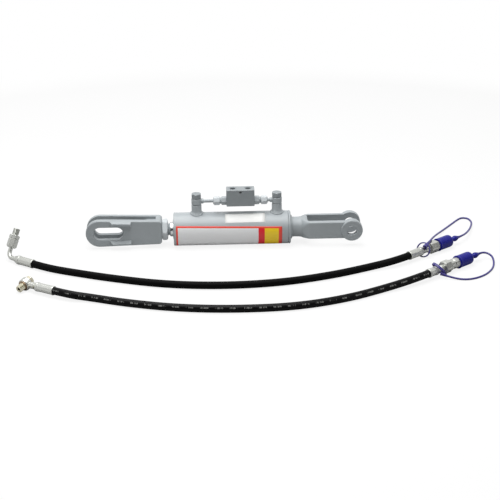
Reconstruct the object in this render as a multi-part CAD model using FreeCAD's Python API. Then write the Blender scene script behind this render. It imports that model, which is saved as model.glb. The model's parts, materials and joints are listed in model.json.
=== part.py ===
import FreeCAD, Part
import math
import os
from FreeCAD import Placement, Rotation, Vector

# Hydraulic lift rod for a tractor's three-point linkage, in millimetres.
# The origin is the centre of the clevis bore. +X runs from the fork to the clevis,
# +Z is up and the camera of the product picture stands on the -Y side.
# The two hoses of the kit lie loose on the floor in front of the cylinder.

# Fits
run_gap = 0.05            # radial clearance of a shaft that turns or slides
seat_gap = 0.02           # radial clearance of round pieces that are fixed together
body_gap = 0.3            # space between faces of pieces that move apart

# Barrel, gland and end cap
bore_d = 70.0
barrel_wall = 5.0
stroke = 140.0
stop_gap = 3.0            # piston to gland spigot with the rod right out
base_gap = 4.0            # rod tail to end cap with the rod right in
gland_length = 48.0
gland_nose = 1.5
gland_nose_d = 48.0
gland_edge = 0.5
spigot_length = 13.0
spigot_d = 50.0
wiper_groove = (1.0, 6.0, 5.0)     # set in from the tube's end, width and depth
seal_groove = (12.0, 7.5, 5.0)
guide_groove = (28.0, 12.0, 2.5)
oring_groove = (36.0, 4.0, 2.5)
socket_d = 6.0            # four holes in the gland's face for the pin spanner
socket_depth = 5.0
socket_r = 29.5
cap_thick = 21.0
cap_relief = 3.0          # shallow pocket in the end cap for the rod's tail
weld_leg = 6.0
register_depth = 0.5      # shallow turned line round the tube's rod end
register_width = 1.0
register_set = 11.0
port_hole_d = 10.0
rod_port_set = 8.0        # port axis from the gland's inner shoulder
base_port_set = 11.0      # port axis from the end cap's inner face

# Rod, piston and seals
rod_d = 35.0
rod_show = 7.5            # bare rod in front of the gland nose
thread_d = 30.0
thread_show = 5.1
thread_grip = 46.9        # threaded length beyond the lock nut
tail_d = 24.0
tail_end = 1.0
piston_length = 38.0
piston_nut_thick = 13.0
piston_nut_af = 36.0
seal_width = 7.0
seal_depth = 5.0
wear_width = 6.0
wear_depth = 2.5
lock_nut_thick = 14.0
lock_nut_af = 46.0

# Slotted fork
fork_length = 182.2
fork_width = 48.0
fork_gap = 22.0
fork_end_height = 66.0
fork_base_height = 57.4
fork_base = 14.6
fork_corner = 7.0
fork_block = 24.0
fork_block_height = 46.0
fork_edge = 1.5
thread_clear = 5.0        # hole beyond the rod's tip
slot_length = 72.0
slot_width = 32.0
slot_set = 18.0           # slot from the round end
lug_set = 56.6
lug_length = 52.0
lug_height = 14.0         # at the plate; the rib thins towards its outer edge
lug_draft = (4.0, 6.0)    # slope of its outward and inward faces over the proud part
lug_proud = 9.0
lug_slope = 8.0

# Clevis
eye_to_base = 147.0
pin_d = 25.5
eye_r = 26.0
boss_proud = 5.0
boss_edge = 1.5
arm_height = 42.5
arm_thick = 12.0
clevis_gap = 40.0
throat_set = 106.0
throat_r = 4.0
neck_d = 50.0
neck_waist_d = 48.0
neck_length = 27.0
flare_length = 20.0
arm_edge = 3.0

# Ports and pipes
boss_d = 24.0
boss_weld_d = 32.0
boss_top = 62.0
boss_thread_depth = 13.0
port_thread_d = 16.0
washer_thick = 1.5
washer_d = 20.5
banjo_thick = 14.0
banjo_d = 24.0
banjo_head_af = 22.0
banjo_head = 11.0
banjo_hollow_d = 8.0
cross_hole_d = 5.0
stub_d = 12.0
stub_length = 5.0
stub_socket = 4.0
pipe_d = 8.0
pipe_bore_d = 5.0
union_af = 19.0
union_length = 16.0
union_gap = 4.0
stud_hex_length = 12.0
stud_thread_d = 16.0
stud_socket = 8.0
stud_grip = 10.0
stud_in_thread_d = 13.2

# Check valve block
block_length = 67.0
block_depth = 30.0
block_height = 41.0
block_bottom = 60.0
pipe_show = 5.0           # bare pipe between the base side's stub and its union nut
block_edge = 1.0
top_port_d = 13.2
top_port_depth = 12.0
top_port_set = 18.4       # each way from the block's centre
top_face_d = 19.0
top_face_depth = 0.6
mount_hole_d = 6.5
mount_hole_z = 95.0
pilot_bore_d = 10.0
pilot_half = 9.5
pilot_pin_d = 2.6
pilot_pin = 4.6
pilot_chamber = 14.0
seat_thick = 4.0
seat_d = 12.0
seat_hole_d = 5.0
poppet_d = 9.0
poppet_head = 3.4
poppet_stem_d = 4.0
poppet_stem = 3.0
spring_wire_d = 0.8
spring_d = 7.4
spring_turns = 4
stud_spring_bore_d = 9.0
stud_spring_depth = 6.5
drill_d = 3.0

# Hoses, their ends and what they stand on
floor_z = -(bore_d / 2 + barrel_wall)
hose_d = 17.4
ferrule_d = 21.0
ferrule_flats = 19.4
ferrule_lip = 4.0
elbow_ferrule = 58.0
banjo_ferrule = 54.0
elbow_taper = 12.0
banjo_taper = 7.0
tail_taper = 5.0
hose_z = floor_z + hose_d / 2 + 0.1
cap_d = 30.0
cap_wall = 3.5
cap_length = 41.0
cap_bead = 0.6
cap_tail_neck_d = 7.5
cap_tail_neck = 12.0
cap_knob_d = 14.0
cap_knob = 23.0
cap_knob_rise = 4.0       # the knob widens over this length, then stays wide over as much
coupler_z = floor_z + cap_d / 2 + cap_bead + 0.2
coupler_tip_d = 20.5
coupler_tip_groove_d = 17.5
coupler_neck_d = 16.0
coupler_bore_d = 13.0
coupler_bore = 24.0       # depth from the tip
coupler_spring_d = 10.4
coupler_wire_d = 1.2
coupler_lip = 3.0
coupler_lip_d = 9.0
valve_head_d = 12.0
valve_head = 7.0
strap_d = 4.0
strap_z = floor_z + strap_d / 2 + 0.1
ring_d = 26.0
ring_wire_d = 4.0
strap_end_gap = 0.3
elbow_tube_d = 10.0
elbow_run = 8.0
elbow_bend = 14.0
elbow_rise = 9.0
elbow_lean = 32.0         # degrees that the elbow leans back over
swivel_af = 22.0
swivel_length = 22.0
collar_set = 8.0          # collar on the elbow's end from the nut's back face
collar_width = 4.0
collar_proud = 2.0
collar_cone = 2.0
adapter_af = 22.0
adapter_hex = 9.0
adapter_d = 16.0
adapter_tip = 16.0
adapter_bore_d = 8.0
eye_d = 28.0
eye_thick = 17.0
eye_neck_d = 15.0
eye_neck = 12.0
eye_roll = 10.0           # degrees that the screw's tip dips
screw_d = 16.0
screw_head = 8.0
screw_af = 19.0
screw_tip = 18.0
screw_hollow_d = 7.0

# Places along the cylinder's axis, worked out from the sizes above
barrel_od = bore_d + 2 * barrel_wall
barrel_length = (gland_length + spigot_length + stop_gap + stroke + piston_length
                 + piston_nut_thick + tail_end + base_gap + cap_thick)
x_base = -eye_to_base
x_cap_in = x_base - cap_thick
x_tube_right = x_base - weld_leg
x_tube_left = x_base - barrel_length
x_gland_in = x_tube_left + gland_length
x_spigot = x_gland_in + spigot_length
x_nose = x_tube_left - gland_nose
x_rod_port = x_gland_in + rod_port_set
x_base_port = x_cap_in - base_port_set
x_tail = x_cap_in - base_gap
x_piston_right = x_tail - tail_end - piston_nut_thick
x_piston_left = x_piston_right - piston_length
x_shoulder = x_nose - rod_show
x_nut_right = x_shoulder - thread_show
x_nut_left = x_nut_right - lock_nut_thick
x_fork = x_nut_left - body_gap
x_rod_end = x_nut_left - thread_grip
x_fork_end = x_fork - fork_length
x_block = (x_base_port - banjo_d / 2 - stub_length - pipe_show - union_length - union_gap
           - stud_hex_length - block_length / 2)
z_ring = boss_top + washer_thick
z_pipe = z_ring + banjo_thick / 2
z_head = z_ring + banjo_thick + washer_thick

os.makedirs("parts", exist_ok=True)
X, Y, Z = Vector(1, 0, 0), Vector(0, 1, 0), Vector(0, 0, 1)


def save(name, *shapes):
    # several separate solids go into one node as a compound
    whole = shapes[0] if len(shapes) == 1 else Part.makeCompound(list(shapes))
    whole.exportStep(f"parts/{name}.step")
    solids = whole.Solids
    print(f"{name}: {len(solids)} solid(s), {sum(s.Volume for s in solids) / 1000:.2f} cm3, valid {whole.isValid()}")


def face_of(to_vector, steps):
    # a step is a point, or a pair of points for an arc through the first to the second
    first = to_vector(*steps[0])
    last = first
    edges = []
    for step in list(steps[1:]) + [steps[0]]:
        if isinstance(step[0], tuple):
            middle, end = to_vector(*step[0]), to_vector(*step[1])
            edges.append(Part.Arc(last, middle, end).toShape())
        else:
            end = to_vector(*step)
            if end.distanceToPoint(last) > 1e-6:
                edges.append(Part.LineSegment(last, end).toShape())
        last = end
    return Part.Face(Part.Wire(edges))


def side_plate(steps, y_low, y_high):
    # an outline drawn in X and Z, given its thickness along Y
    face = face_of(lambda x, z: Vector(x, y_low, z), steps)
    return face.extrude(Vector(0, y_high - y_low, 0))


def plan_plate(steps, z_low, z_high):
    # an outline drawn in X and Y, given its height along Z
    face = face_of(lambda x, y: Vector(x, y, z_low), steps)
    return face.extrude(Vector(0, 0, z_high - z_low))


def turned(*steps):
    # a profile of X and radius, turned about the X axis
    return face_of(lambda x, r: Vector(x, 0, r), steps).revolve(Vector(), X, 360)


def bar(x_low, x_high, diameter, hole=0.0):
    solid = Part.makeCylinder(diameter / 2, x_high - x_low, Vector(x_low, 0, 0), X)
    if hole:
        solid = solid.cut(Part.makeCylinder(hole / 2, x_high - x_low, Vector(x_low, 0, 0), X))
    return solid


def prism(x_low, x_high, across, sides=6):
    # a regular bar along X, measured across its flats
    corner = across / 2 / math.cos(math.pi / sides)
    angles = [2 * math.pi * (k + 0.5) / sides for k in range(sides)]
    points = [Vector(x_low, corner * math.sin(a), corner * math.cos(a)) for a in angles]
    face = Part.Face(Part.makePolygon(points + points[:1]))
    return face.extrude(Vector(x_high - x_low, 0, 0))


def hex_bar(x_low, x_high, across, both=True):
    # a hexagon with its corners turned off at 30 degrees, at one end or at both
    corner = across / math.sqrt(3)
    face_r = across * 0.475
    drop = (corner - face_r) * math.tan(math.radians(30))
    right = [(x_high - drop, corner), (x_high, face_r)] if both else [(x_high, corner)]
    return prism(x_low, x_high, across).common(
        turned((x_low, 0), (x_low, face_r), (x_low + drop, corner), *right, (x_high, 0)))


def upright(shape, x, z=0.0):
    # local +X turned up to +Z, and set at a place on the cylinder's top line
    return placed(shape, Placement(Vector(x, 0, z), Rotation(Y, -90)))


def placed(shape, placement):
    moved = shape.copy()
    moved.transformShape(placement.toMatrix(), True)
    return moved


def mirrored(shape, x):
    return shape.mirror(Vector(x, 0, 0), X)


def coil(x_low, length, outside, wire, turns, steps=8):
    # a compression spring along X: short arcs that run into one another along a helix
    radius = (outside - wire) / 2
    rise = (length - wire) / (turns * steps)
    corner = radius / math.cos(math.pi / steps)
    angle = 2 * math.pi / steps
    corners = [Vector(x_low + wire / 2 + rise * (k - 0.5), corner * math.cos(angle * k), corner * math.sin(angle * k))
               for k in range(round(turns * steps) + 2)]
    middles = [(a + b) * 0.5 for a, b in zip(corners, corners[1:])]
    edges = []
    for start, at, end in zip(middles, corners[1:], middles[1:]):
        first, second = at - start, end - at
        turn = first.getAngle(second)
        bend = first.Length / math.tan(turn / 2)
        inward = (second.normalize() - first.normalize()).normalize()
        edges.append(Part.Arc(start, at + inward * (bend / math.cos(turn / 2) - bend), end).toShape())
    section = Part.Wire([Part.makeCircle(wire / 2, middles[0], corners[1] - middles[0])])
    return Part.Wire(edges).makePipeShell([section], True, False)


def cord_tube(name, points, diameter):
    # straight runs joined by tangent arcs, each as large as its two runs allow
    points = [Vector(*p) for p in points]
    edges, radii, start = [], [], points[0]
    for before, corner, after in zip(points, points[1:], points[2:]):
        first, second = corner - before, after - corner
        turn = first.getAngle(second)
        reach = 0.45 * min(first.Length, second.Length)
        radius = reach / math.tan(turn / 2)
        radii.append(round(radius))
        first.normalize()
        second.normalize()
        leave, join = corner - first * reach, corner + second * reach
        inward = (second - first).normalize()
        middle = corner + inward * (radius / math.cos(turn / 2) - radius)
        edges.append(Part.LineSegment(start, leave).toShape())
        edges.append(Part.Arc(leave, middle, join).toShape())
        start = join
    edges.append(Part.LineSegment(start, points[-1]).toShape())
    path = Part.Wire(edges)
    section = Part.Wire([Part.makeCircle(diameter / 2, points[0], points[1] - points[0])])
    tube = path.makePipeShell([section], True, False)
    expected = math.pi * diameter ** 2 / 4 * path.Length
    print(f"{name}: length {path.Length:.0f}, least radius {min(radii)}, radii {radii}, "
          f"volume ratio {tube.Volume / expected:.4f}")
    save(name, tube)


# The barrel, its end cap, the weld beads and the gland

def build_barrel():
    r_in, r_out = bore_d / 2, barrel_od / 2
    x_line = x_tube_left + register_set
    tube = turned((x_tube_left, r_in), (x_tube_left, r_out - 1), (x_tube_left + 1, r_out),
                  (x_line, r_out), (x_line, r_out - register_depth),
                  (x_line + register_width, r_out - register_depth), (x_line + register_width, r_out),
                  (x_tube_right, r_out), (x_tube_right, r_in))
    for x in (x_rod_port, x_base_port):
        tube = tube.cut(upright(bar(0, boss_top, port_hole_d), x))
    save("barrel_tube", tube)

    cap_r = r_in - seat_gap
    cap = turned((x_cap_in, 0), (x_cap_in, cap_r - 2), (x_cap_in + 2, cap_r), (x_base, cap_r), (x_base, 0))
    save("end_cap", cap.cut(bar(x_cap_in, x_cap_in + cap_relief, gland_nose_d)))

    outer = turned((x_tube_right, r_in + 0.5), (x_tube_right, r_out),
                   ((x_tube_right + weld_leg * 0.72, r_out - weld_leg * 0.28), (x_base, r_in + 0.5)))
    neck_r = neck_d / 2
    inner = turned((x_base, neck_r), (x_base, neck_r + 5),
                   ((x_base + 3.2, neck_r + 3.2), (x_base + 5, neck_r)))
    save("base_welds", outer, inner)


def build_gland():
    r_plug, r_rod = bore_d / 2 - seat_gap, rod_d / 2 + run_gap
    x = x_tube_left
    body = turned((x_nose, r_rod), (x_nose, gland_nose_d / 2 - gland_edge), (x_nose + gland_edge, gland_nose_d / 2),
                  (x, gland_nose_d / 2), (x, r_plug), (x_gland_in, r_plug),
                  (x_gland_in, spigot_d / 2), (x_spigot, spigot_d / 2), (x_spigot, r_rod))
    rings = []
    for name, groove in (("rod_wiper", wiper_groove), ("rod_seal", seal_groove), ("rod_guide", guide_groove)):
        inset, width, depth = groove
        start = x + inset
        body = body.cut(bar(start, start + width, 2 * (r_rod + depth)))
        rings.append((name, bar(start, start + width, 2 * (r_rod + depth - seat_gap), rod_d + 2 * run_gap)))
    inset, width, depth = oring_groove
    start, floor_d = x + inset, bore_d - 2 * depth
    body = body.cut(bar(start, start + width, bore_d + 2, floor_d))
    rings.append(("gland_oring", bar(start, start + width, bore_d - 2 * seat_gap, floor_d + 2 * seat_gap)))
    for k in range(4):
        socket = bar(x - gland_nose, x + socket_depth, socket_d)
        socket = placed(socket, Placement(Vector(0, 0, socket_r), Rotation()))
        body = body.cut(placed(socket, Placement(Vector(), Rotation(X, 45 + 90 * k))))
    save("gland", body)
    for name, ring in rings:
        save(name, ring)


# What moves in the barrel: rod, piston and their seals

def build_rod():
    r, t, n = rod_d / 2, thread_d / 2, tail_d / 2
    save("piston_rod", turned((x_rod_end, 0), (x_rod_end, t - 2), (x_rod_end + 2, t), (x_shoulder, t),
                              (x_shoulder, r - 1.5), (x_shoulder + 1.5, r), (x_piston_left, r),
                              (x_piston_left, n), (x_tail - 1.5, n), (x_tail, n - 1.5), (x_tail, 0)))
    piston_r = bore_d / 2 - 0.08
    grooves = piston_grooves()
    piston = turned((x_piston_left, n + seat_gap), (x_piston_left, piston_r - 1.5), (x_piston_left + 1.5, piston_r),
                    (x_piston_right - 1.5, piston_r), (x_piston_right, piston_r - 1.5),
                    (x_piston_right, n + seat_gap))
    for start, width, depth in grooves:
        piston = piston.cut(bar(start, start + width, bore_d + 2, bore_d - 2 * depth))
    save("piston", piston)
    nut = hex_bar(x_piston_right, x_piston_right + piston_nut_thick, piston_nut_af)
    save("piston_nut", nut.cut(bar(x_piston_right, x_tail, tail_d + 2 * seat_gap)))


def piston_grooves():
    # start, width and depth of the wear ring, seal and wear ring grooves
    middle = (x_piston_left + x_piston_right) / 2
    wear_room, seal_room = wear_width + 2 * body_gap, seal_width + 2 * body_gap
    return [(x_piston_left + 4, wear_room, wear_depth), (middle - seal_room / 2, seal_room, seal_depth),
            (x_piston_right - 4 - wear_room, wear_room, wear_depth)]


def build_piston_rings():
    rings = []
    for start, width, depth in piston_grooves():
        rings.append(bar(start + body_gap, start + width - body_gap, bore_d - 2 * run_gap,
                         bore_d - 2 * depth + 2 * run_gap))
    save("wear_rings", rings[0], rings[2])
    save("piston_seal", rings[1])


def build_lock_nut():
    nut = hex_bar(x_nut_left, x_nut_right, lock_nut_af)
    save("lock_nut", nut.cut(bar(x_nut_left, x_nut_right, thread_d + 2 * run_gap)))


# The slotted fork on the rod's thread

def build_fork():
    end_r = fork_end_height / 2
    low = fork_base_height / 2
    x_round = x_fork_end + end_r
    c = fork_corner
    bend = c * (1 - math.sqrt(0.5))
    outline = [(x_round, end_r), (x_fork - c, low + 0.5), ((x_fork - bend, low - bend), (x_fork, low - c)),
               (x_fork, -low + c), ((x_fork - bend, -low + bend), (x_fork - c, -low - 0.5)),
               (x_round, -end_r), ((x_fork_end, 0), (x_round, end_r))]
    half = fork_width / 2
    plate = side_plate(outline, -half, half)
    rims = [e for e in plate.Edges if abs(abs(e.CenterOfMass.y) - half) < 0.01]
    plate = plate.makeChamfer(fork_edge, rims)
    x_gap = x_fork - fork_base
    gap = Part.makeBox(x_gap - x_fork_end + 1, fork_gap, fork_end_height + 2,
                       Vector(x_fork_end - 1, -fork_gap / 2, -end_r - 1))
    block = Part.makeBox(fork_block + 1, fork_gap, fork_block_height,
                         Vector(x_gap - fork_block, -fork_gap / 2, -fork_block_height / 2))
    fork = plate.cut(gap).fuse(block)
    fork = fork.cut(bar(x_rod_end - thread_clear, x_fork, thread_d + 2 * run_gap))
    r = slot_width / 2
    x_a, x_b = x_fork_end + slot_set + r, x_fork_end + slot_set + slot_length - r
    slot = [(x_a, r), (x_b, r), ((x_b + r, 0), (x_b, -r)), (x_a, -r), ((x_a - r, 0), (x_a, r))]
    fork = fork.cut(side_plate(slot, -half - 1, half + 1))
    fork = fork.fuse([keeper_lug(up, side) for up in (1, -1) for side in (1, -1)])
    save("slotted_fork", fork.removeSplitter())


def keeper_lug(up, side):
    # one of the four drafted ribs that stand out along the plates' upper and lower edges
    x_low = x_fork_end + lug_set
    x_high = x_low + lug_length
    drop = (fork_end_height - fork_base_height) / 2 / (fork_length - fork_end_height / 2)
    inner, outer = fork_width / 2 - fork_edge, fork_width / 2 + lug_proud

    def section(y, x_start, outward, inward):
        # a four-sided section at one distance from the middle, parallel to the plate's tapered edge
        tops = [fork_end_height / 2 - drop * (x - x_fork_end - fork_end_height / 2) for x in (x_start, x_high)]
        corners = [(x_start, tops[0] - lug_height + inward), (x_high, tops[1] - lug_height + inward),
                   (x_high, tops[1] - outward), (x_start, tops[0] - outward)]
        return face_of(lambda x, z: Vector(x, y, z), corners).OuterWire

    lug = Part.makeLoft([section(inner, x_low, 0, 0), section(outer, x_low + lug_slope, *lug_draft)], True, True)
    if side < 0:
        lug = lug.mirror(Vector(), Y)
    return lug if up > 0 else lug.mirror(Vector(), Z)


# The forged clevis

def rounded_section(x, width, height, corner):
    # a rounded rectangle across the X axis, always of four sides and four arcs
    w, h = width / 2, height / 2
    bend = corner * (1 - math.sqrt(0.5))
    steps = [(-w + corner, -h), (w - corner, -h), ((w - bend, -h + bend), (w, -h + corner)), (w, h - corner),
             ((w - bend, h - bend), (w - corner, h)), (-w + corner, h), ((-w + bend, h - bend), (-w, h - corner)),
             (-w, -h + corner), ((-w + bend, -h + bend), (-w + corner, -h))]
    return face_of(lambda y, z: Vector(x, y, z), steps)


def build_clevis():
    half = clevis_gap / 2 + arm_thick
    width = 2 * half
    x_neck = x_base + neck_length
    x_full = x_neck + flare_length
    neck_r = neck_d / 2
    neck = turned((x_base, 0), (x_base, neck_r), ((x_base + neck_length / 2, neck_waist_d / 2), (x_neck, neck_r)),
                  (x_neck, 0))
    sections = [rounded_section(x_neck, neck_d, neck_d, neck_r - 0.5),
                rounded_section(x_neck + flare_length * 0.45, neck_d + (width - neck_d) * 0.62,
                                (neck_d + arm_height) / 2, neck_r * 0.5),
                rounded_section(x_full, width, arm_height, arm_edge)]
    flare = Part.makeLoft([section.OuterWire for section in sections], True)
    arms = rounded_section(x_full, width, arm_height, arm_edge).extrude(Vector(-x_full, 0, 0))
    bosses = Part.makeCylinder(eye_r, width + 2 * boss_proud, Vector(0, -half - boss_proud, 0), Y)
    rims = [e for e in bosses.Edges if abs(abs(e.CenterOfMass.y) - half - boss_proud) < 0.01]
    bosses = bosses.makeChamfer(boss_edge, rims)
    t, g, tall, x_throat = throat_r, clevis_gap / 2, eye_r + 4, -throat_set
    bend = t * (1 - math.sqrt(0.5))
    mouth = [(eye_r + 5, -g), (eye_r + 5, g), (x_throat + t, g), ((x_throat + bend, g - bend), (x_throat, g - t)),
             (x_throat, -g + t), ((x_throat + bend, -g + bend), (x_throat + t, -g))]
    clevis = neck.fuse([flare, arms, bosses]).cut(plan_plate(mouth, -tall, tall))
    bore = Part.makeCylinder(pin_d / 2, width + 4 * boss_proud, Vector(0, -half - 2 * boss_proud, 0), Y)
    save("clevis", clevis.cut(bore))


# Port bosses, banjo fittings, pipes and unions

def build_ports():
    r = boss_d / 2
    foot = barrel_od / 2 - 6
    weld_top = barrel_od / 2 + 6
    post = turned((foot, 0), (foot, boss_weld_d / 2 + 1.5), (barrel_od / 2 - 1, boss_weld_d / 2),
                  ((barrel_od / 2 + 2.6, r + 1.8), (weld_top, r)), (boss_top - 1, r), (boss_top, r - 1), (boss_top, 0))
    post = post.cut(bar(boss_top - boss_thread_depth, boss_top, port_thread_d + 2 * seat_gap))
    post = post.cut(bar(0, boss_top, port_hole_d))
    barrel = bar(x_tube_left, x_tube_right, barrel_od)
    bolt = banjo_bolt(port_thread_d, boss_thread_depth - 1, banjo_thick, banjo_head, banjo_head_af)
    washers = []
    for name, x in (("rod_side", x_rod_port), ("base_side", x_base_port)):
        save(f"port_boss_{name}", upright(post, x).cut(barrel))
        save(f"banjo_bolt_{name}", upright(bolt, x, z_ring))
        eye = banjo_eye()
        eye = eye if name == "rod_side" else mirrored(eye, 0)
        save(f"banjo_eye_{name}", placed(eye, Placement(Vector(x, 0, 0), Rotation())))
        for z in (boss_top, z_head - washer_thick):
            washers.append(upright(bar(z, z + washer_thick, washer_d, port_thread_d + 2 * seat_gap), x))
    save("sealing_washers", *washers)


def banjo_bolt(thread, grip, ring, head, across):
    # hollow screw along local X; its seat on the lower washer is at 0
    top = ring + washer_thick
    shank = turned((-washer_thick - grip, 0), (-washer_thick - grip, thread / 2 - 1),
                   (-washer_thick - grip + 1, thread / 2), (top, thread / 2), (top, 0))
    screw = shank.fuse(hex_bar(top, top + head, across))
    screw = screw.cut(bar(-washer_thick - grip, ring / 2 + 2, banjo_hollow_d))
    cross = Part.makeCylinder(cross_hole_d / 2, thread + 2, Vector(ring / 2, 0, -thread / 2 - 1), Z)
    return screw.cut(cross).removeSplitter()


def banjo_eye():
    # ring about Z with a stub towards +X that takes the pipe
    r_in, r_out, out = port_thread_d / 2 + seat_gap, banjo_d / 2, banjo_d / 2 + stub_length
    top = z_ring + banjo_thick
    ring = turned((z_ring, r_in), (z_ring, r_out - 1), (z_ring + 1, r_out), (top - 1, r_out), (top, r_out - 1),
                  (top, r_in))
    ring = placed(ring, Placement(Vector(), Rotation(Y, -90)))
    ring = placed(ring, Placement(Vector(), Rotation(Z, 90)))
    line = Placement(Vector(0, 0, z_pipe), Rotation())
    eye = ring.fuse(placed(bar(r_in + 1, out, stub_d), line))
    eye = eye.cut(placed(bar(0, out, pipe_bore_d), line))
    return eye.cut(placed(bar(out - stub_socket, out, pipe_d + 2 * seat_gap), line))


def build_unions():
    # everything is drawn once for the left face of the block and mirrored for the right
    x_face = x_block - block_length / 2
    x_hex = x_face - stud_hex_length
    x_open = x_hex - union_gap
    x_back = x_open - union_length
    x_stud = x_open - 6
    x_in = x_face + stud_grip
    stud = turned((x_stud, 0), (x_stud, stud_thread_d / 2 - 1), (x_stud + 1, stud_thread_d / 2),
                  (x_hex, stud_thread_d / 2), (x_hex, 0))
    stud = stud.fuse([hex_bar(x_hex, x_face, union_af, both=False),
                      bar(x_face, x_in, stud_in_thread_d - 2 * seat_gap)])
    x_pipe_end = x_stud + stud_socket
    stud = stud.cut(bar(x_stud, x_pipe_end, pipe_d + 2 * seat_gap))
    stud = stud.cut(bar(x_stud, x_in, pipe_bore_d))
    stud = stud.cut(bar(x_in - stud_spring_depth, x_in, stud_spring_bore_d))
    cone = turned((x_stud - 3, 0), (x_stud - 3, 0.1), (x_stud - 3, pipe_d / 2 + seat_gap),
                  (x_stud, pipe_d / 2 + 2.4), (x_stud + 3, pipe_d / 2 + seat_gap), (x_stud + 3, 0))
    stud = stud.cut(cone).removeSplitter()
    collar = turned((x_stud - 3.4, pipe_d / 2 + seat_gap), (x_stud - 0.1, pipe_d / 2 + 2.2),
                    (x_stud + 2.6, pipe_d / 2 + seat_gap))
    nut = hex_bar(x_back, x_open, union_af)
    nut = nut.cut(bar(x_stud - 0.2, x_open, stud_thread_d + 2 * seat_gap))
    nut = nut.cut(turned((x_stud - 4, 0), (x_stud - 4, pipe_d / 2 + seat_gap), (x_stud - 0.2, pipe_d / 2 + 2.7),
                         (x_stud - 0.2, 0)))
    nut = nut.cut(bar(x_back, x_stud, pipe_d + 2 * seat_gap)).removeSplitter()
    move = Placement(Vector(0, 0, z_pipe), Rotation())
    for name, piece in (("stud_fittings", stud), ("cutting_rings", collar), ("union_nuts", nut)):
        save(name, placed(piece, move), placed(mirrored(piece, x_block), move))
    stub_out = banjo_d / 2 + stub_length
    left = bar(x_rod_port + stub_out - stub_socket, x_pipe_end, pipe_d, pipe_bore_d)
    right = bar(2 * x_block - x_pipe_end, x_base_port - stub_out + stub_socket, pipe_d, pipe_bore_d)
    save("pipe_rod_side", placed(left, move))
    save("pipe_base_side", placed(right, move))


# The pilot check valve block and what works inside it

def build_block():
    half = block_length / 2
    block = Part.makeBox(block_length, block_depth, block_height,
                         Vector(x_block - half, -block_depth / 2, block_bottom))
    block = block.makeChamfer(block_edge, block.Edges)
    top = block_bottom + block_height
    axial = [bar(x_block - half - 1, x_block + half + 1, pilot_bore_d + 2 * run_gap)]
    for side in (-1, 1):
        x_port = x_block + side * top_port_set
        port = bar(top - top_port_depth, top + 1, top_port_d).fuse(bar(top - top_face_depth, top + 1, top_face_d))
        block = block.cut(upright(port, x_port))
        x_drill = x_block + side * (pilot_chamber - drill_d / 2 - 0.3)
        block = block.cut(upright(bar(z_pipe, top - top_port_depth + 1, drill_d), x_drill))
        x_seat = x_block + side * (pilot_chamber + seat_thick)
        ends = sorted((x_block + side * pilot_chamber, x_block + side * (half + 1)))
        axial.append(bar(*ends, seat_d + 2 * seat_gap))
        ends = sorted((x_block + side * (half - stud_grip), x_block + side * (half + 1)))
        axial.append(bar(*ends, stud_in_thread_d))
    for hole in axial:
        block = block.cut(placed(hole, Placement(Vector(0, 0, z_pipe), Rotation())))
    cross = Part.makeCylinder(mount_hole_d / 2, block_depth + 2, Vector(x_block, -block_depth / 2 - 1, mount_hole_z), Y)
    save("valve_block", block.cut(cross).removeSplitter())


def build_valve_parts():
    move = Placement(Vector(0, 0, z_pipe), Rotation())
    x0 = x_block
    seat_x = x0 + pilot_chamber
    seat = turned((seat_x, seat_hole_d / 2), (seat_x, seat_d / 2), (seat_x + seat_thick, seat_d / 2),
                  (seat_x + seat_thick, seat_hole_d / 2 + 1), (seat_x + seat_thick - 1, seat_hole_d / 2))
    save("valve_seats", placed(seat, move), placed(mirrored(seat, x0), move))
    cone_x = seat_x + seat_thick + 0.05
    nose_r = seat_hole_d / 2 - 0.3
    poppet = turned((cone_x - 0.8, 0), (cone_x - 0.8, nose_r - 0.3), (cone_x, nose_r + 0.5), (cone_x + 0.1, poppet_d / 2),
                    (cone_x + poppet_head, poppet_d / 2), (cone_x + poppet_head, poppet_stem_d / 2),
                    (cone_x + poppet_head + poppet_stem, poppet_stem_d / 2), (cone_x + poppet_head + poppet_stem, 0))
    save("poppet_base_side", placed(poppet, move))
    save("poppet_rod_side", placed(mirrored(poppet, x0), move))
    spring_x = cone_x + poppet_head + 0.1
    spring_end = x0 + block_length / 2 - stud_grip + stud_spring_depth - 0.1
    spring = coil(spring_x, spring_end - spring_x, spring_d, spring_wire_d, spring_turns)
    save("poppet_spring_base_side", placed(spring, move))
    save("poppet_spring_rod_side", placed(mirrored(spring, x0), move))
    p, r, pin = pilot_half, pilot_bore_d / 2, pilot_pin_d / 2
    pilot = turned((x0 - p - pilot_pin, 0), (x0 - p - pilot_pin, pin), (x0 - p, pin), (x0 - p, r - 0.5),
                   (x0 - p + 0.5, r), (x0 - 1, r), (x0 - 1, r - 1), (x0 + 1, r - 1), (x0 + 1, r),
                   (x0 + p - 0.5, r), (x0 + p, r - 0.5), (x0 + p, pin), (x0 + p + pilot_pin, pin),
                   (x0 + p + pilot_pin, 0))
    save("pilot_piston", placed(pilot, move))


# Fittings on the hoses, each drawn along local +X from the hose's cut end

def ferrule(length, taper, taper_d):
    # crimped sleeve: a lip, ten pressed flats and a taper to the stem behind
    r, crimp_end = ferrule_d / 2, length - taper - ferrule_lip
    body = turned((0, 0), (0, r - 0.6), (0.6, r), (length - taper, r), (length, taper_d / 2), (length, 0))
    flats = prism(ferrule_lip, crimp_end, ferrule_flats, sides=10)
    zone = bar(ferrule_lip, crimp_end, ferrule_d + 2)
    return body.cut(zone.cut(flats))


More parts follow.
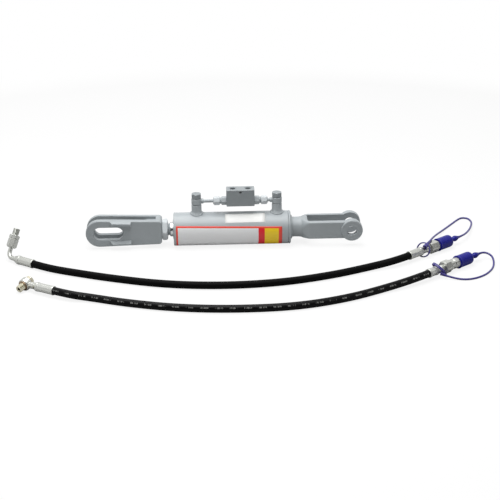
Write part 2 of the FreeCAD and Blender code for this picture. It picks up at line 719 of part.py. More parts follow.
def coupler(start, hex_low, hex_high, hex_af, body_d):
    # male quick coupler: stem with the strap ring's groove, hexagon, body and tip
    tip = mouth + cap_length - cap_wall - 1.5
    n, b, t = coupler_neck_d / 2, body_d / 2, coupler_tip_d / 2
    groove = coupler_tip_groove_d / 2
    stem = turned((start, 0), (start, n), (hex_low, n), (hex_low, 0))
    core = turned((hex_high, 0), (hex_high, b), (mouth - 2, b), (mouth - 1, t), (tip - 12, t), (tip - 10.5, groove),
                  (tip - 8, groove), (tip - 6.5, t), (tip - 1.5, t), (tip, t - 1.5), (tip, 0))
    whole = stem.fuse([hex_bar(hex_low, hex_high, hex_af), core])
    whole = whole.cut(bar(tip - coupler_bore, tip - coupler_lip, coupler_bore_d))
    return whole.cut(bar(tip - coupler_lip, tip, coupler_lip_d)).removeSplitter()


def coupler_valve():
    # the spring-loaded plug that shows in the coupler's mouth, and its spring
    tip = mouth + cap_length - cap_wall - 1.5
    x_back = tip - coupler_lip - body_gap
    h, s = valve_head_d / 2, coupler_lip_d / 2 - 0.3
    plug = turned((x_back - valve_head, 0), (x_back - valve_head, h - 1), (x_back - valve_head + 1, h), (x_back, h),
                  (x_back, s), (tip - 1.5, s), (tip - 0.5, s - 1), (tip - 0.5, 0))
    room = coupler_bore - coupler_lip - body_gap - valve_head
    spring = coil(tip - coupler_bore + 0.1, room - 0.2, coupler_spring_d, coupler_wire_d, spring_turns)
    return plug, spring


def dust_cap():
    # rubber cap with a rolled edge, and a tail that ends in a cone knob
    r, hole = cap_d / 2, coupler_tip_d / 2 + 0.35
    end = mouth + cap_length
    neck = end + cap_tail_neck
    knob = neck + cap_knob
    n, k = cap_tail_neck_d / 2, cap_knob_d / 2
    room = mouth + cap_length - cap_wall
    return turned((mouth, hole), (mouth, r), ((mouth + 1.5, r + cap_bead), (mouth + 3, r)), (end - 3, r),
                  ((end - 0.9, r - 0.9), (end, r - 3)), (end, n + 1.5), (end + 2.5, n), (neck, n),
                  (neck + cap_knob_rise, k), (neck + 2 * cap_knob_rise, k), (knob, strap_d / 2), (knob, 0), (room, 0), (room, hole))


def strap_ring(middle):
    # the strap's closed ring round the coupler's stem
    return Part.makeTorus((ring_d - ring_wire_d) / 2, ring_wire_d / 2, Vector(middle, 0, 0), X)


def build_hose_tail(number, place, ferrule_length, ring_at, hexagon, body_d):
    frame = Placement(Vector(*place[:3]), Rotation(place[3], 0, 0))
    save(f"hose_{number}_ferrule_right", placed(ferrule(ferrule_length, tail_taper, coupler_neck_d + 2), frame))
    save(f"coupler_{number}", placed(coupler(ferrule_length, *hexagon, body_d), frame))
    plug, spring = coupler_valve()
    save(f"coupler_valve_{number}", placed(plug, frame))
    save(f"coupler_spring_{number}", placed(spring, frame))
    save(f"dust_cap_{number}", placed(dust_cap(), frame))
    save(f"strap_ring_{number}", placed(strap_ring(ring_at), frame))


# Places of the hose ends: x, y, z of the rubber's cut end and the heading in degrees
tail_1 = (121.5, -142.8, coupler_z, 39.0)
tail_2 = (149.4, -251.4, coupler_z, 39.0)
head_1 = (-753.0, -130.4, floor_z + ferrule_d / 2 + 0.1, 144.0)
head_2 = (-688.4, -297.1, floor_z + eye_d / 2 + 0.3, 148.0)
mouth = 103.0             # dust cap's rim from the rubber's cut end
ring_at_1, ring_at_2 = 60.0, 38.0


def build_elbow_end():
    length = elbow_ferrule
    frame = Placement(Vector(*head_1[:3]), Rotation(head_1[3], 0, 0))
    save("hose_1_ferrule_left", placed(ferrule(length, elbow_taper, elbow_tube_d + 2), frame))
    bend = elbow_bend
    x_bend = length + elbow_run
    rise = bend + elbow_rise
    collar, collar_r = rise + collar_set, elbow_tube_d / 2 + collar_proud
    collar_top = collar + collar_width
    cone_top = collar_top + collar_cone
    k = bend * math.sqrt(0.5)
    path = Part.Wire([
        Part.LineSegment(Vector(length, 0, 0), Vector(x_bend, 0, 0)).toShape(),
        Part.Arc(Vector(x_bend, 0, 0), Vector(x_bend + k, 0, bend - k), Vector(x_bend + bend, 0, bend)).toShape(),
        Part.LineSegment(Vector(x_bend + bend, 0, bend), Vector(x_bend + bend, 0, collar_top)).toShape()])
    ring = Part.Wire([Part.makeCircle(elbow_tube_d / 2, Vector(length, 0, 0), X)])
    tube = path.makePipeShell([ring], True, False)
    lean = frame.multiply(Placement(Vector(), Rotation(X, elbow_lean)))
    up = lean.multiply(Placement(Vector(x_bend + bend, 0, 0), Rotation(Y, -90)))
    head = turned((collar, 0), (collar, elbow_tube_d / 2), (collar, collar_r), (collar_top, collar_r),
                  (cone_top, collar_r - collar_cone), (cone_top, 0))
    head = placed(head, Placement(Vector(x_bend + bend, 0, 0), Rotation(Y, -90)))
    save("hose_1_elbow", placed(tube.fuse(head).removeSplitter(), lean))
    # the nut turns on the elbow's collar and carries the screwed-in adapter
    hole, room = elbow_tube_d / 2 + run_gap, collar_r + body_gap
    nut = hex_bar(rise, rise + swivel_length, swivel_af)
    nut = nut.cut(bar(rise, rise + swivel_length, 2 * hole))
    nut = nut.cut(bar(collar - body_gap, rise + swivel_length, 2 * room))
    save("swivel_nut", placed(nut, up))
    top = rise + swivel_length
    low, hex_top, tip, r = cone_top + body_gap, top + adapter_hex, top + adapter_hex + adapter_tip, adapter_d / 2
    adapter = turned((low, 0), (low, room - seat_gap), (top, room - seat_gap), (top, 0))
    spigot = turned((hex_top, 0), (hex_top, r), (tip - 1, r), (tip, r - 1), (tip, 0))
    adapter = adapter.fuse([hex_bar(top, hex_top, adapter_af), spigot])
    adapter = adapter.cut(bar(cone_top, tip, adapter_bore_d)).removeSplitter()
    save("hose_1_adapter", placed(adapter, up))
    print("swivel axis", up.multVec(Vector(0, 0, 0)), up.Rotation.multVec(X))


def build_banjo_end():
    length = banjo_ferrule
    frame = Placement(Vector(*head_2[:3]), Rotation(head_2[3], 0, 0))
    save("hose_2_ferrule_left", placed(ferrule(length, banjo_taper, eye_neck_d), frame))
    x_eye = length + eye_neck + eye_d / 2
    # local frame whose X is the screw's axis, pointing from tip to head
    roll = frame.multiply(Placement(Vector(x_eye, 0, 0), Rotation(X, -eye_roll)))
    across = roll.multiply(Placement(Vector(), Rotation(Z, -90)))
    half = eye_thick / 2
    ring = turned((-half, 0), (-half, eye_d / 2 - 2), ((-half + 1.2, eye_d / 2 - 0.6), (-half + 3, eye_d / 2)),
                  (half - 3, eye_d / 2), ((half - 1.2, eye_d / 2 - 0.6), (half, eye_d / 2 - 2)), (half, 0))
    ring = placed(ring, Placement(Vector(x_eye, 0, 0), Rotation(Z, 90)))
    eye = ring.fuse(bar(length, x_eye, eye_neck_d))
    hole = placed(bar(-half - 1, half + 1, screw_d + 2 * run_gap), Placement(Vector(x_eye, 0, 0), Rotation(Z, 90)))
    eye = eye.cut(hole).removeSplitter()
    save("hose_2_banjo_eye", placed(placed(eye, Placement(Vector(), Rotation(X, -eye_roll))), frame))
    seat = half + washer_thick
    washers = [bar(a, a + washer_thick, screw_d + 7, screw_d + 2 * run_gap) for a in (-seat, half)]
    save("hose_2_washers", *[placed(w, across) for w in washers])
    shank = turned((-seat - screw_tip, 0), (-seat - screw_tip, screw_d / 2 - 1), (-seat - screw_tip + 1, screw_d / 2),
                   (seat + body_gap, screw_d / 2), (seat + body_gap, 0))
    screw = shank.fuse(hex_bar(seat + body_gap, seat + body_gap + screw_head, screw_af))
    screw = screw.cut(bar(-seat - screw_tip, 3, screw_hollow_d))
    screw = screw.cut(Part.makeCylinder(cross_hole_d / 2, screw_d + 2, Vector(0, 0, -screw_d / 2 - 1), Z))
    save("banjo_screw", placed(screw.removeSplitter(), across))
    print("screw axis", across.multVec(Vector(0, 0, 0)), across.Rotation.multVec(X))


def ahead(place, distance):
    # a point on the line of a hose end; a negative distance lies back along the hose
    turn = math.radians(place[3])
    return (place[0] + distance * math.cos(turn), place[1] + distance * math.sin(turn), place[2])


def knob_end(place, further=0.0):
    return ahead(place, mouth + cap_length + cap_tail_neck + cap_knob + further)


def beside(place, ring_at, turn, lift, further=0.0):
    # the spot just off a strap ring that lies turned to one side and lifted, in degrees
    x, y, z = ahead(place, ring_at)
    heading, up, reach = math.radians(place[3] + turn), math.radians(lift), ring_d / 2 + strap_end_gap + further
    return (x + reach * math.cos(up) * math.cos(heading), y + reach * math.cos(up) * math.sin(heading),
            z + reach * math.sin(up))


def build_cords():
    cord_tube("hose_1", [
        head_1[:3], ahead(head_1, -45), (-673, -175, hose_z), (-571, -220, hose_z), (-446, -263, hose_z),
        (-316, -278, hose_z), (-187, -268, hose_z), (-67, -232, hose_z), (32, -185, hose_z),
        ahead(tail_1, -40), tail_1[:3]], hose_d)
    cord_tube("hose_2", [
        head_2[:3], ahead(head_2, -45), (-613, -323, hose_z), (-521, -362, hose_z), (-406, -394, hose_z),
        (-282, -405, hose_z), (-157, -398, hose_z), (-43, -361, hose_z), (52, -307, hose_z),
        ahead(tail_2, -40), tail_2[:3]], hose_d)
    cord_tube("strap_1", [
        knob_end(tail_1), knob_end(tail_1, 14), (289, 11, strap_z + 9), (304, 50, strap_z + 5),
        (315, 88, strap_z + 1.5), (317, 112, strap_z), (312, 130, strap_z), (297, 134, strap_z),
        (283, 118, strap_z), (261, 86, strap_z), (235, 49, strap_z + 1), (209, -1, strap_z + 7),
        beside(tail_1, ring_at_1, 90, 50, strap_d / 2)], strap_d)
    cord_tube("strap_2", [
        knob_end(tail_2), knob_end(tail_2, 9), (305.5, -132.5, strap_z + 12.5), (313.5, -139, strap_z + 10.5),
        (317.5, -149, strap_z + 8), (317.5, -166, strap_z + 4.5), (312, -190, strap_z + 1), (301, -212, strap_z),
        (283, -236, strap_z), (258, -254, strap_z), (233, -260, strap_z), (211, -254, strap_z + 1),
        beside(tail_2, ring_at_2, -90, -10)], strap_d)


build_barrel()
build_gland()
build_rod()
build_piston_rings()
build_lock_nut()
build_fork()
build_clevis()
build_ports()
build_unions()
build_block()
build_valve_parts()
build_elbow_end()
build_banjo_end()
build_hose_tail(1, tail_1, 46.0, ring_at_1, (76.0, 98.0, 26.0), 21.5)
build_hose_tail(2, tail_2, 32.0, ring_at_2, (50.0, 70.0, 27.0), 23.0)
build_cords()
print("ports", x_rod_port, x_base_port, "block", x_block, "fork", x_fork, "rod end", x_rod_end)
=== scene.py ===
import json
import math
import bmesh
import bpy
import numpy as np
from mathutils import Matrix, Quaternion, Vector


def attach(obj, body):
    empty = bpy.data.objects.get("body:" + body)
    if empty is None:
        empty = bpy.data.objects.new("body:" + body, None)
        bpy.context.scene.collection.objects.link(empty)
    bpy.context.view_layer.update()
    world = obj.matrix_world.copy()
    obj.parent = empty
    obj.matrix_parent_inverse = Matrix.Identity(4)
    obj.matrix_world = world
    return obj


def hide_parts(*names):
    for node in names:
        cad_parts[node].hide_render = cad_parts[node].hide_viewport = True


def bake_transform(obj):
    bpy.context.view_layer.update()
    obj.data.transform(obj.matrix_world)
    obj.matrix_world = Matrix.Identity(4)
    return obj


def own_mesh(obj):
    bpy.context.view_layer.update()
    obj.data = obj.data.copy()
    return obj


# Hydraulic lift rod of a tractor's linkage with its two hoses, as in a catalogue picture.
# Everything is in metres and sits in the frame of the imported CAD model.
# Sizes in the dictionaries are in millimetres, so mm turns them to metres.

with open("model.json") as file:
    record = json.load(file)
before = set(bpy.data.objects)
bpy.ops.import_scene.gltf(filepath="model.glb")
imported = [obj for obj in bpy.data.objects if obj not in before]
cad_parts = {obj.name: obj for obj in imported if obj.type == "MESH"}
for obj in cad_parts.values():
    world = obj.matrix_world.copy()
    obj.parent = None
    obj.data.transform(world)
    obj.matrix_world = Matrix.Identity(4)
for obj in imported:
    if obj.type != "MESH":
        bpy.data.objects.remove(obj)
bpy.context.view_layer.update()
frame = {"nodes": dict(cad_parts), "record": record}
nodes = frame["nodes"]
scene = bpy.context.scene
scene.view_settings.view_transform = "Standard"
mm = 0.001
turn = 2 * math.pi


# Camera: a long lens, a little to the left, 22 degrees above the floor and rolled by half a degree
cameraSet = {"target": (-0.2451, -0.0204, -0.0506), "azimuth": -2.0, "elevation": 22.0, "roll": -0.5,
             "distance": 3.2, "lens": 95.2, "sensor": 36.0, "farClip": 100.0}
azimuth, elevation, roll = (math.radians(cameraSet[key]) for key in ("azimuth", "elevation", "roll"))
sight = Vector((math.sin(azimuth) * math.cos(elevation), -math.cos(azimuth) * math.cos(elevation),
                math.sin(elevation)))
cameraData = bpy.data.cameras.new("camera")
cameraData.lens, cameraData.sensor_width = cameraSet["lens"], cameraSet["sensor"]
cameraData.clip_end = cameraSet["farClip"]
camera = bpy.data.objects.new("camera", cameraData)
camera.location = Vector(cameraSet["target"]) + cameraSet["distance"] * sight
camera.rotation_euler = (sight.to_track_quat("Z", "Y") @ Quaternion((0, 0, 1), roll)).to_euler()
scene.collection.objects.link(camera)
scene.camera = camera
print("camera set")


# Small helpers for materials

mixFactor, mixA, mixB, mixOut = 0, 6, 7, 2  # the sockets of a Mix node that blends colours


def linear(hexColour):
    # sRGB hex to linear RGBA
    value = np.array([int(hexColour[k:k + 2], 16) for k in (1, 3, 5)]) / 255
    value = np.where(value <= 0.04045, value / 12.92, ((value + 0.055) / 1.055) ** 2.4)
    return (*value.tolist(), 1.0)


def addNode(tree, kind, settings=None, links=None):
    # one shader node; settings are its properties or its sockets' values, links are sockets that feed it
    node = tree.nodes.new(kind)
    for key, value in (settings or {}).items():
        if isinstance(key, str) and hasattr(node, key):
            setattr(node, key, value)
        else:
            node.inputs[key].default_value = value
    for key, socket in (links or {}).items():
        tree.links.new(socket, node.inputs[key])
    return node


def newFinish(name, look):
    # two tones in soft patches, a roughness that follows them, and a fine relief, all in Object coordinates or UV
    material = bpy.data.materials.new(name)
    material.use_nodes = True
    tree = material.node_tree
    shader = tree.nodes["Principled BSDF"]
    where = addNode(tree, "ShaderNodeTexCoord").outputs[look.get("space", "Object")]
    stretch = addNode(tree, "ShaderNodeMapping", {"Scale": look.get("stretch", (1, 1, 1))}, {"Vector": where})
    patches = addNode(tree, "ShaderNodeTexNoise", {"Scale": 1000 / look["patch"], "Detail": 4.0, "Roughness": 0.6},
                      {"Vector": where})
    tones = addNode(tree, "ShaderNodeMix", {"data_type": "RGBA", mixA: linear(look["tones"][0]),
                                            mixB: linear(look["tones"][1])}, {mixFactor: patches.outputs["Fac"]})
    rough = addNode(tree, "ShaderNodeMapRange", {"From Min": 0.3, "From Max": 0.7, "To Min": look["rough"][0],
                                                 "To Max": look["rough"][1]}, {"Value": patches.outputs["Fac"]})
    grain = addNode(tree, "ShaderNodeTexNoise", {"Scale": 1000 / look["grain"], "Detail": 3.0},
                    {"Vector": stretch.outputs["Vector"]})
    relief = addNode(tree, "ShaderNodeBump", {"Strength": look.get("strength", 0.6), "Distance": look["relief"] * mm},
                     {"Height": grain.outputs["Fac"]})
    tree.links.new(tones.outputs[mixOut], shader.inputs["Base Color"])
    tree.links.new(rough.outputs["Result"], shader.inputs["Roughness"])
    tree.links.new(relief.outputs["Normal"], shader.inputs["Normal"])
    for key, value in look.get("shader", {}).items():
        shader.inputs[key].default_value = value
    return material


# What each finish is in the real kit. patch, grain and relief are millimetres, rough is the range of roughness.
finishes = {
    # satin two-pack enamel sprayed over the assembled cylinder: even grey, faint orange peel of about 2 mm
    "sprayedEnamel": {"tones": ("#a5acaf", "#b1b7ba"), "patch": 60, "rough": (0.36, 0.5), "grain": 2.2, "relief": 0.05,
                      "shader": {"IOR": 1.5, "Coat Weight": 0.12, "Coat Roughness": 0.3}},
    # the same enamel on drop-forged steel: the die's scale telegraphs through as a 5 mm roll
    "enamelOnForging": {"tones": ("#9ca3a6", "#a9afb2"), "patch": 45, "rough": (0.4, 0.56), "grain": 4.5,
                        "relief": 0.12, "shader": {"IOR": 1.5, "Coat Weight": 0.1, "Coat Roughness": 0.35}},
    # the same enamel on the block, the bolts and their washers: a thinner coat over phosphated steel, a little darker;
    # on the sealing washers, in the grooves between the banjo eyes and their bolts and bosses, the darker tone is
    # painted shade
    "enamelOnBlock": {"tones": ("#8b9295", "#979da0"), "patch": 25, "rough": (0.36, 0.5), "grain": 2.0, "relief": 0.04,
                      "shader": {"IOR": 1.5, "Coat Weight": 0.12, "Coat Roughness": 0.3}},
    # the same enamel on a machined nut: thinner, a little brighter
    "enamelOnNut": {"tones": ("#c6cccf", "#d0d5d8"), "patch": 20, "rough": (0.3, 0.42), "grain": 1.6, "relief": 0.03,
                    "shader": {"IOR": 1.5, "Coat Weight": 0.2, "Coat Roughness": 0.25}},
    # satin zinc electroplate on turned steel: bright silver with faint turning marks round the axis
    "zincPlate": {"tones": ("#b0b2ad", "#cfd0cb"), "patch": 6, "rough": (0.28, 0.44), "grain": 4, "relief": 0.02,
                  "space": "UV", "stretch": (30, 0.4, 1), "shader": {"Metallic": 1.0}},
    # zinc with a thin yellow passivate: a pale straw tint over the same silver
    "yellowZinc": {"tones": ("#cfcab0", "#dedbcb"), "patch": 5, "rough": (0.22, 0.36), "grain": 4, "relief": 0.02,
                   "space": "UV", "stretch": (30, 0.4, 1), "shader": {"Metallic": 1.0}},
    # hard chrome, ground and polished: nearly a mirror
    "hardChrome": {"tones": ("#d3d5d6", "#dddfe0"), "patch": 25, "rough": (0.08, 0.16), "grain": 1, "relief": 0.004,
                   "shader": {"Metallic": 1.0}},
    # turned and hardened bare steel, lightly oiled
    "bareSteel": {"tones": ("#8f9193", "#a9abac"), "patch": 10, "rough": (0.26, 0.42), "grain": 1.2, "relief": 0.01,
                  "shader": {"Metallic": 1.0}},
    # drawn spring wire: dark and shiny
    "springWire": {"tones": ("#6f7173", "#8b8d8f"), "patch": 4, "rough": (0.2, 0.32), "grain": 0.8, "relief": 0.01,
                   "shader": {"Metallic": 1.0}},
    # annealed copper sealing washer, dulled to a greyish brown
    "dullCopper": {"tones": ("#9a8672", "#ac9a86"), "patch": 6, "rough": (0.36, 0.5), "grain": 1.0, "relief": 0.01,
                   "shader": {"Metallic": 1.0}},
    # moulded nitrile rubber of the seals: black and slightly greasy
    "nitrileRubber": {"tones": ("#161617", "#202022"), "patch": 12, "rough": (0.42, 0.56), "grain": 0.7, "relief": 0.02,
                      "shader": {"IOR": 1.5}},
    # turned acetal guide rings: off-white
    "acetalGuide": {"tones": ("#cdc9bd", "#d9d5ca"), "patch": 10, "rough": (0.34, 0.46), "grain": 0.8, "relief": 0.01,
                    "shader": {"IOR": 1.48}},
    # soft PVC dust cap, dip moulded: saturated blue with a soft sheen
    "dippedPvc": {"tones": ("#15177c", "#1b1d8a"), "patch": 18, "rough": (0.34, 0.46), "grain": 3.5, "relief": 0.05,
                  "shader": {"IOR": 1.52, "Specular IOR Level": 0.22}},
    # the same PVC drawn into a thin strap: paler and more violet, because light passes through
    "strapPvc": {"tones": ("#352e7a", "#423a88"), "patch": 14, "rough": (0.34, 0.46), "grain": 2.0, "relief": 0.03,
                 "shader": {"IOR": 1.52, "Subsurface Weight": 0.15, "Subsurface Radius": (0.002, 0.001, 0.003)}},
    # printed vinyl label, four inks: flat colours under a satin film
    "vinylRed": {"tones": ("#f24a3a", "#f85240"), "patch": 40, "rough": (0.34, 0.42), "grain": 3, "relief": 0.01,
                 "shader": {"IOR": 1.49}},
    "vinylGrey": {"tones": ("#eff0f1", "#f4f5f5"), "patch": 30, "rough": (0.34, 0.42), "grain": 3, "relief": 0.01,
                  "shader": {"IOR": 1.49}},
    "vinylYellow": {"tones": ("#ffd61e", "#ffdf30"), "patch": 30, "rough": (0.34, 0.42), "grain": 3, "relief": 0.01,
                    "shader": {"IOR": 1.49}},
    "vinylCrimson": {"tones": ("#e8202e", "#ee2c3a"), "patch": 30, "rough": (0.34, 0.42), "grain": 3, "relief": 0.01,
                     "shader": {"IOR": 1.49}},
    # coated paper of the plain sticker
    "coatedPaper": {"tones": ("#f3f3f0", "#f8f8f6"), "patch": 30, "rough": (0.4, 0.5), "grain": 1.5, "relief": 0.01,
                    "shader": {"IOR": 1.45}},
}
finish = {name: newFinish(name, look) for name, look in finishes.items()}
print("finishes made:", len(finish))


# Small helpers for shapes

bodyOf = {node: body for body, members in frame["record"]["behaviour"]["bodies"].items() for node in members}


def gridMesh(name, points, uv, wrapRows):
    # a grid of rows and columns, closed round its columns and, where asked, round its rows; poles are merged, and
    # the faces are turned round if the volume inside, a sum of a . (b x c) over them, comes out negative
    rows, columns = points.shape[:2]
    i = np.arange(rows if wrapRows else rows - 1)[:, None]
    j = np.arange(columns)[None, :]
    below, beside = (i + 1) % rows, (j + 1) % columns
    corners = [i * columns + j, below * columns + j, below * columns + beside, i * columns + beside]
    faces = np.stack([np.broadcast_to(c, (i.size, columns)) for c in corners], -1).reshape(-1, 4)
    flat = points.reshape(-1, 3)
    a, b, c, d = (flat[faces[:, k]] for k in range(4))
    volume = (np.einsum("ij,ij->i", a, np.cross(b, c)) + np.einsum("ij,ij->i", a, np.cross(c, d))).sum()
    spots = np.stack([np.broadcast_to(s, (i.size, columns, 2)) for s in (
        uv[i, j], uv[i + 1, j], uv[i + 1, j + 1], uv[i, j + 1])], 2).reshape(-1, 4, 2)
    if volume < 0:
        faces, spots = faces[:, ::-1], spots[:, ::-1]
    mesh = bpy.data.meshes.new(name)
    mesh.from_pydata(flat.tolist(), [], faces.tolist())
    mesh.uv_layers.new(name="surface").data.foreach_set("uv", spots.ravel().astype(np.float32))
    work = bmesh.new()
    work.from_mesh(mesh)
    bmesh.ops.remove_doubles(work, verts=work.verts, dist=1e-7)
    work.to_mesh(mesh)
    work.free()
    return mesh


def addPiece(name, mesh, body, material, replaces=(), sharp=35):
    # a finished piece at the origin, with its finish, the body it rides on and the CAD nodes it stands for
    piece = bpy.data.objects.new(name, mesh)
    scene.collection.objects.link(piece)
    for each in material if isinstance(material, list) else [material]:
        mesh.materials.append(finish[each])
    mesh.polygons.foreach_set("use_smooth", np.ones(len(mesh.polygons), bool))
    mesh.set_sharp_from_angle(angle=math.radians(sharp))
    if body:
        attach(piece, body)
    if replaces:
        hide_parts(*replaces)
    return piece


def rounded(profile, radius, steps=3):
    # each inner corner of a profile gives way to a small parabola, (1 - t)^2 start + 2 t (1 - t) corner + t^2 end
    profile = np.array(profile, float)
    out = [profile[:1]]
    t = np.linspace(0, 1, steps + 1)[:, None]
    for before, corner, after in zip(profile, profile[1:], profile[2:]):
        a, b = before - corner, after - corner
        reach = min(radius, 0.45 * np.linalg.norm(a), 0.45 * np.linalg.norm(b))
        start, end = corner + a / np.linalg.norm(a) * reach, corner + b / np.linalg.norm(b) * reach
        out.append((1 - t) ** 2 * start + 2 * t * (1 - t) * corner + t ** 2 * end)
    return np.concatenate(out + [profile[-1:]])


def hexEnds(across):
    # corner radius of a hexagon's turned-off corners, its face's radius and how far the corner drops
    corner = across / math.sqrt(3)
    return corner - 0.25, across * 0.475, (corner - across * 0.475) * 0.58


def lathe(name, profile, place, body, material, replaces=(), sides=96, spacing=0.8, flats=(), threads=(),
          edge=0.3, hollow=False, sharp=35):
    # profile of (x, r) turned about place's axis. Flats cap the radius at across / 2 / cos(angle off the flat),
    # threads take a sawtooth of (x / pitch - angle / turn) off it, flat for crestFlat at its crest and its root
    crestFlat = 0.12
    corners = rounded(profile, edge)
    along = np.concatenate([[0], np.cumsum(np.linalg.norm(np.diff(corners, axis=0), axis=1))])
    stops = np.unique(np.concatenate([along, np.arange(0, along[-1], spacing)]))
    x, base = (np.interp(stops, along, corners[:, k])[:, None] for k in (0, 1))
    angle = np.arange(sides)[None, :] / sides * turn
    r = base + 0 * angle
    for low, high, across, count in flats:
        off = (angle + math.pi / count) % (turn / count) - math.pi / count
        r = np.where((x > low - 0.01) & (x < high + 0.01), np.minimum(r, across / 2 / np.cos(off)), r)
    for low, high, pitch, depth in threads:
        inside = (x > low) & (x < high)
        crest = base > 0.9 * base[inside].max()
        saw = np.abs(2 * ((x / pitch - angle / turn) % 1) - 1)
        saw = np.clip((saw - crestFlat) / (1 - 2 * crestFlat), 0, 1)
        fade = np.clip(np.minimum(x - low, high - x) / (0.4 * pitch), 0, 1)
        r = np.where(inside & crest, r - depth * saw * fade, r)
    at, axis, up = (np.array(v, float) for v in place)
    axis, up = axis / np.linalg.norm(axis), up / np.linalg.norm(up)
    side = np.cross(up, axis)
    spoke = np.cos(angle)[..., None] * up + np.sin(angle)[..., None] * side
    points = at + x[..., None] * axis + r[..., None] * spoke
    column = np.arange(sides + 1)[None, :] / sides
    uv = np.stack([stops[:, None] / 10 + 0 * column, 0 * stops[:, None] + column], -1)
    if hollow:
        points = points[:-1]
    return addPiece(name, gridMesh(name, points * mm, uv, hollow), body, material, replaces, sharp)


def tube(name, path, radius, body, material, replaces=(), sides=24, side=(0, 0, 1), closed=False, sharp=60):
    # a round section carried along a path in metres, path + r (cos a up + sin a across); radius is a function of
    # the way along and the angle, in mm
    path = np.array(path, float)
    if closed:
        following, previous = np.roll(path, -1, 0), np.roll(path, 1, 0)
    else:
        following, previous = np.concatenate([path[1:], path[-1:]]), np.concatenate([path[:1], path[:-1]])
    along = np.concatenate([[0], np.cumsum(np.linalg.norm(np.diff(path, axis=0), axis=1))]) / mm
    tangent = following - previous
    tangent /= np.linalg.norm(tangent, axis=1, keepdims=True)
    up = np.array(side, float) - tangent * (tangent @ np.array(side, float))[:, None]
    up /= np.linalg.norm(up, axis=1, keepdims=True)
    across = np.cross(tangent, up)
    angle = np.arange(sides) / sides * turn
    r = (radius(along[:, None], angle[None, :]) + 0 * along[:, None] + 0 * angle[None, :]) * mm
    points = path[:, None, :] + r[..., None] * (np.cos(angle)[None, :, None] * up[:, None, :]
                                                + np.sin(angle)[None, :, None] * across[:, None, :])
    column = np.arange(sides + 1)[None, :] / sides
    if closed:
        rows = np.append(along, along[-1] * 2 - along[-2])
    else:
        points = np.concatenate([np.repeat(path[:1, None], sides, 1), points, np.repeat(path[-1:, None], sides, 1)])
        rows = np.concatenate([along[:1], along, along[-1:]])
    uv = np.stack([rows[:, None] / 10 + 0 * column, 0 * rows[:, None] + column], -1)
    return addPiece(name, gridMesh(name, points, uv, closed), body, material, replaces, sharp)


def softened(node, width, material, name=None, limit=32):
    # a joined copy of a CAD node with its sharp edges rounded over, as paint and tumbling leave them; its flat
    # faces, level to within 0.6 degrees, are made whole first
    source = nodes[node].data
    points, faces = np.empty(len(source.vertices) * 3), np.empty(len(source.loops), int)
    source.vertices.foreach_get("co", points)
    source.loops.foreach_get("vertex_index", faces)
    mesh = bpy.data.meshes.new(name or node)
    mesh.from_pydata(points.reshape(-1, 3).tolist(), [], faces.reshape(-1, 3).tolist())
    work = bmesh.new()
    work.from_mesh(mesh)
    bmesh.ops.remove_doubles(work, verts=work.verts, dist=2e-6)
    bmesh.ops.dissolve_limit(work, angle_limit=math.radians(0.6), verts=work.verts, edges=work.edges)
    work.to_mesh(mesh)
    work.free()
    piece = addPiece(name or node + "Soft", mesh, bodyOf[node], material, [node], limit)
    bevel = piece.modifiers.new("rounding", "BEVEL")
    bevel.width, bevel.segments, bevel.limit_method = width * mm, 3, "ANGLE"
    bevel.angle_limit, bevel.harden_normals = math.radians(limit), True
    return piece


# The two hoses: rubber, then what is on their ends

hoseSet = {"diameter": 17.4, "floor": -31.2, "wrapPitch": 4.0, "wrapDepth": 0.11, "wrappedStep": 0.6, "smoothStep": 1.0}
hoseRadius = hoseSet["diameter"] / 2
# where the rubber ends and which way it points: x, y, z and degrees
headOne, headTwo = (-753.0, -130.4, -29.4, 144.0), (-688.4, -297.1, -25.7, 148.0)
tailOne, tailTwo = (121.5, -142.8, -24.2, 39.0), (149.4, -251.4, -24.2, 39.0)


def ahead(place, distance):
    # a point on the line of a hose end: its spot plus distance times its heading
    heading = math.radians(place[3])
    return place[0] + distance * math.cos(heading), place[1] + distance * math.sin(heading), place[2]


def level(z, points):
    # (x, y) points laid at one height
    return [(x, y, z) for x, y in points]


hoseRoutes = {
    "hoseOne": [headOne[:3], ahead(headOne, -45)] + level(hoseSet["floor"], [
        (-673, -175), (-571, -220), (-446, -263), (-316, -278), (-187, -268), (-67, -232), (32, -185)])
        + [ahead(tailOne, -40), tailOne[:3]],
    "hoseTwo": [headTwo[:3], ahead(headTwo, -45)] + level(hoseSet["floor"], [
        (-613, -323), (-521, -362), (-406, -394), (-282, -405), (-157, -398), (-43, -361), (52, -307)])
        + [ahead(tailTwo, -40), tailTwo[:3]],
}


def routePoints(name, controls, step):
    # points along the smooth quadratic spline of a cord's route, evenly spaced by step in mm, and its length
    data = bpy.data.curves.new(name + "Route", "CURVE")
    data.dimensions, data.resolution_u = "3D", 32
    spline = data.splines.new("NURBS")
    spline.points.add(len(controls) - 1)
    spline.points.foreach_set("co", [v for p in controls for v in (p[0] * mm, p[1] * mm, p[2] * mm, 1.0)])
    spline.order_u = 3
    spline.use_endpoint_u = True
    route = bpy.data.objects.new(name + "Route", data)
    scene.collection.objects.link(route)
    mesh = bpy.data.meshes.new_from_object(route)
    found = np.empty(len(mesh.vertices) * 3)
    mesh.vertices.foreach_get("co", found)
    found = found.reshape(-1, 3)
    bpy.data.objects.remove(route)
    along = np.concatenate([[0], np.cumsum(np.linalg.norm(np.diff(found, axis=0), axis=1))])
    stops = np.linspace(0, along[-1], int(along[-1] / (step * mm)) + 1)
    return np.column_stack([np.interp(stops, along, found[:, k]) for k in range(3)]), along[-1]


def lineOf(place):
    # a hose end as lathe takes it: its spot, its axis, and up
    heading = math.radians(place[3])
    return place[:3], (math.cos(heading), math.sin(heading), 0), (0, 0, 1)


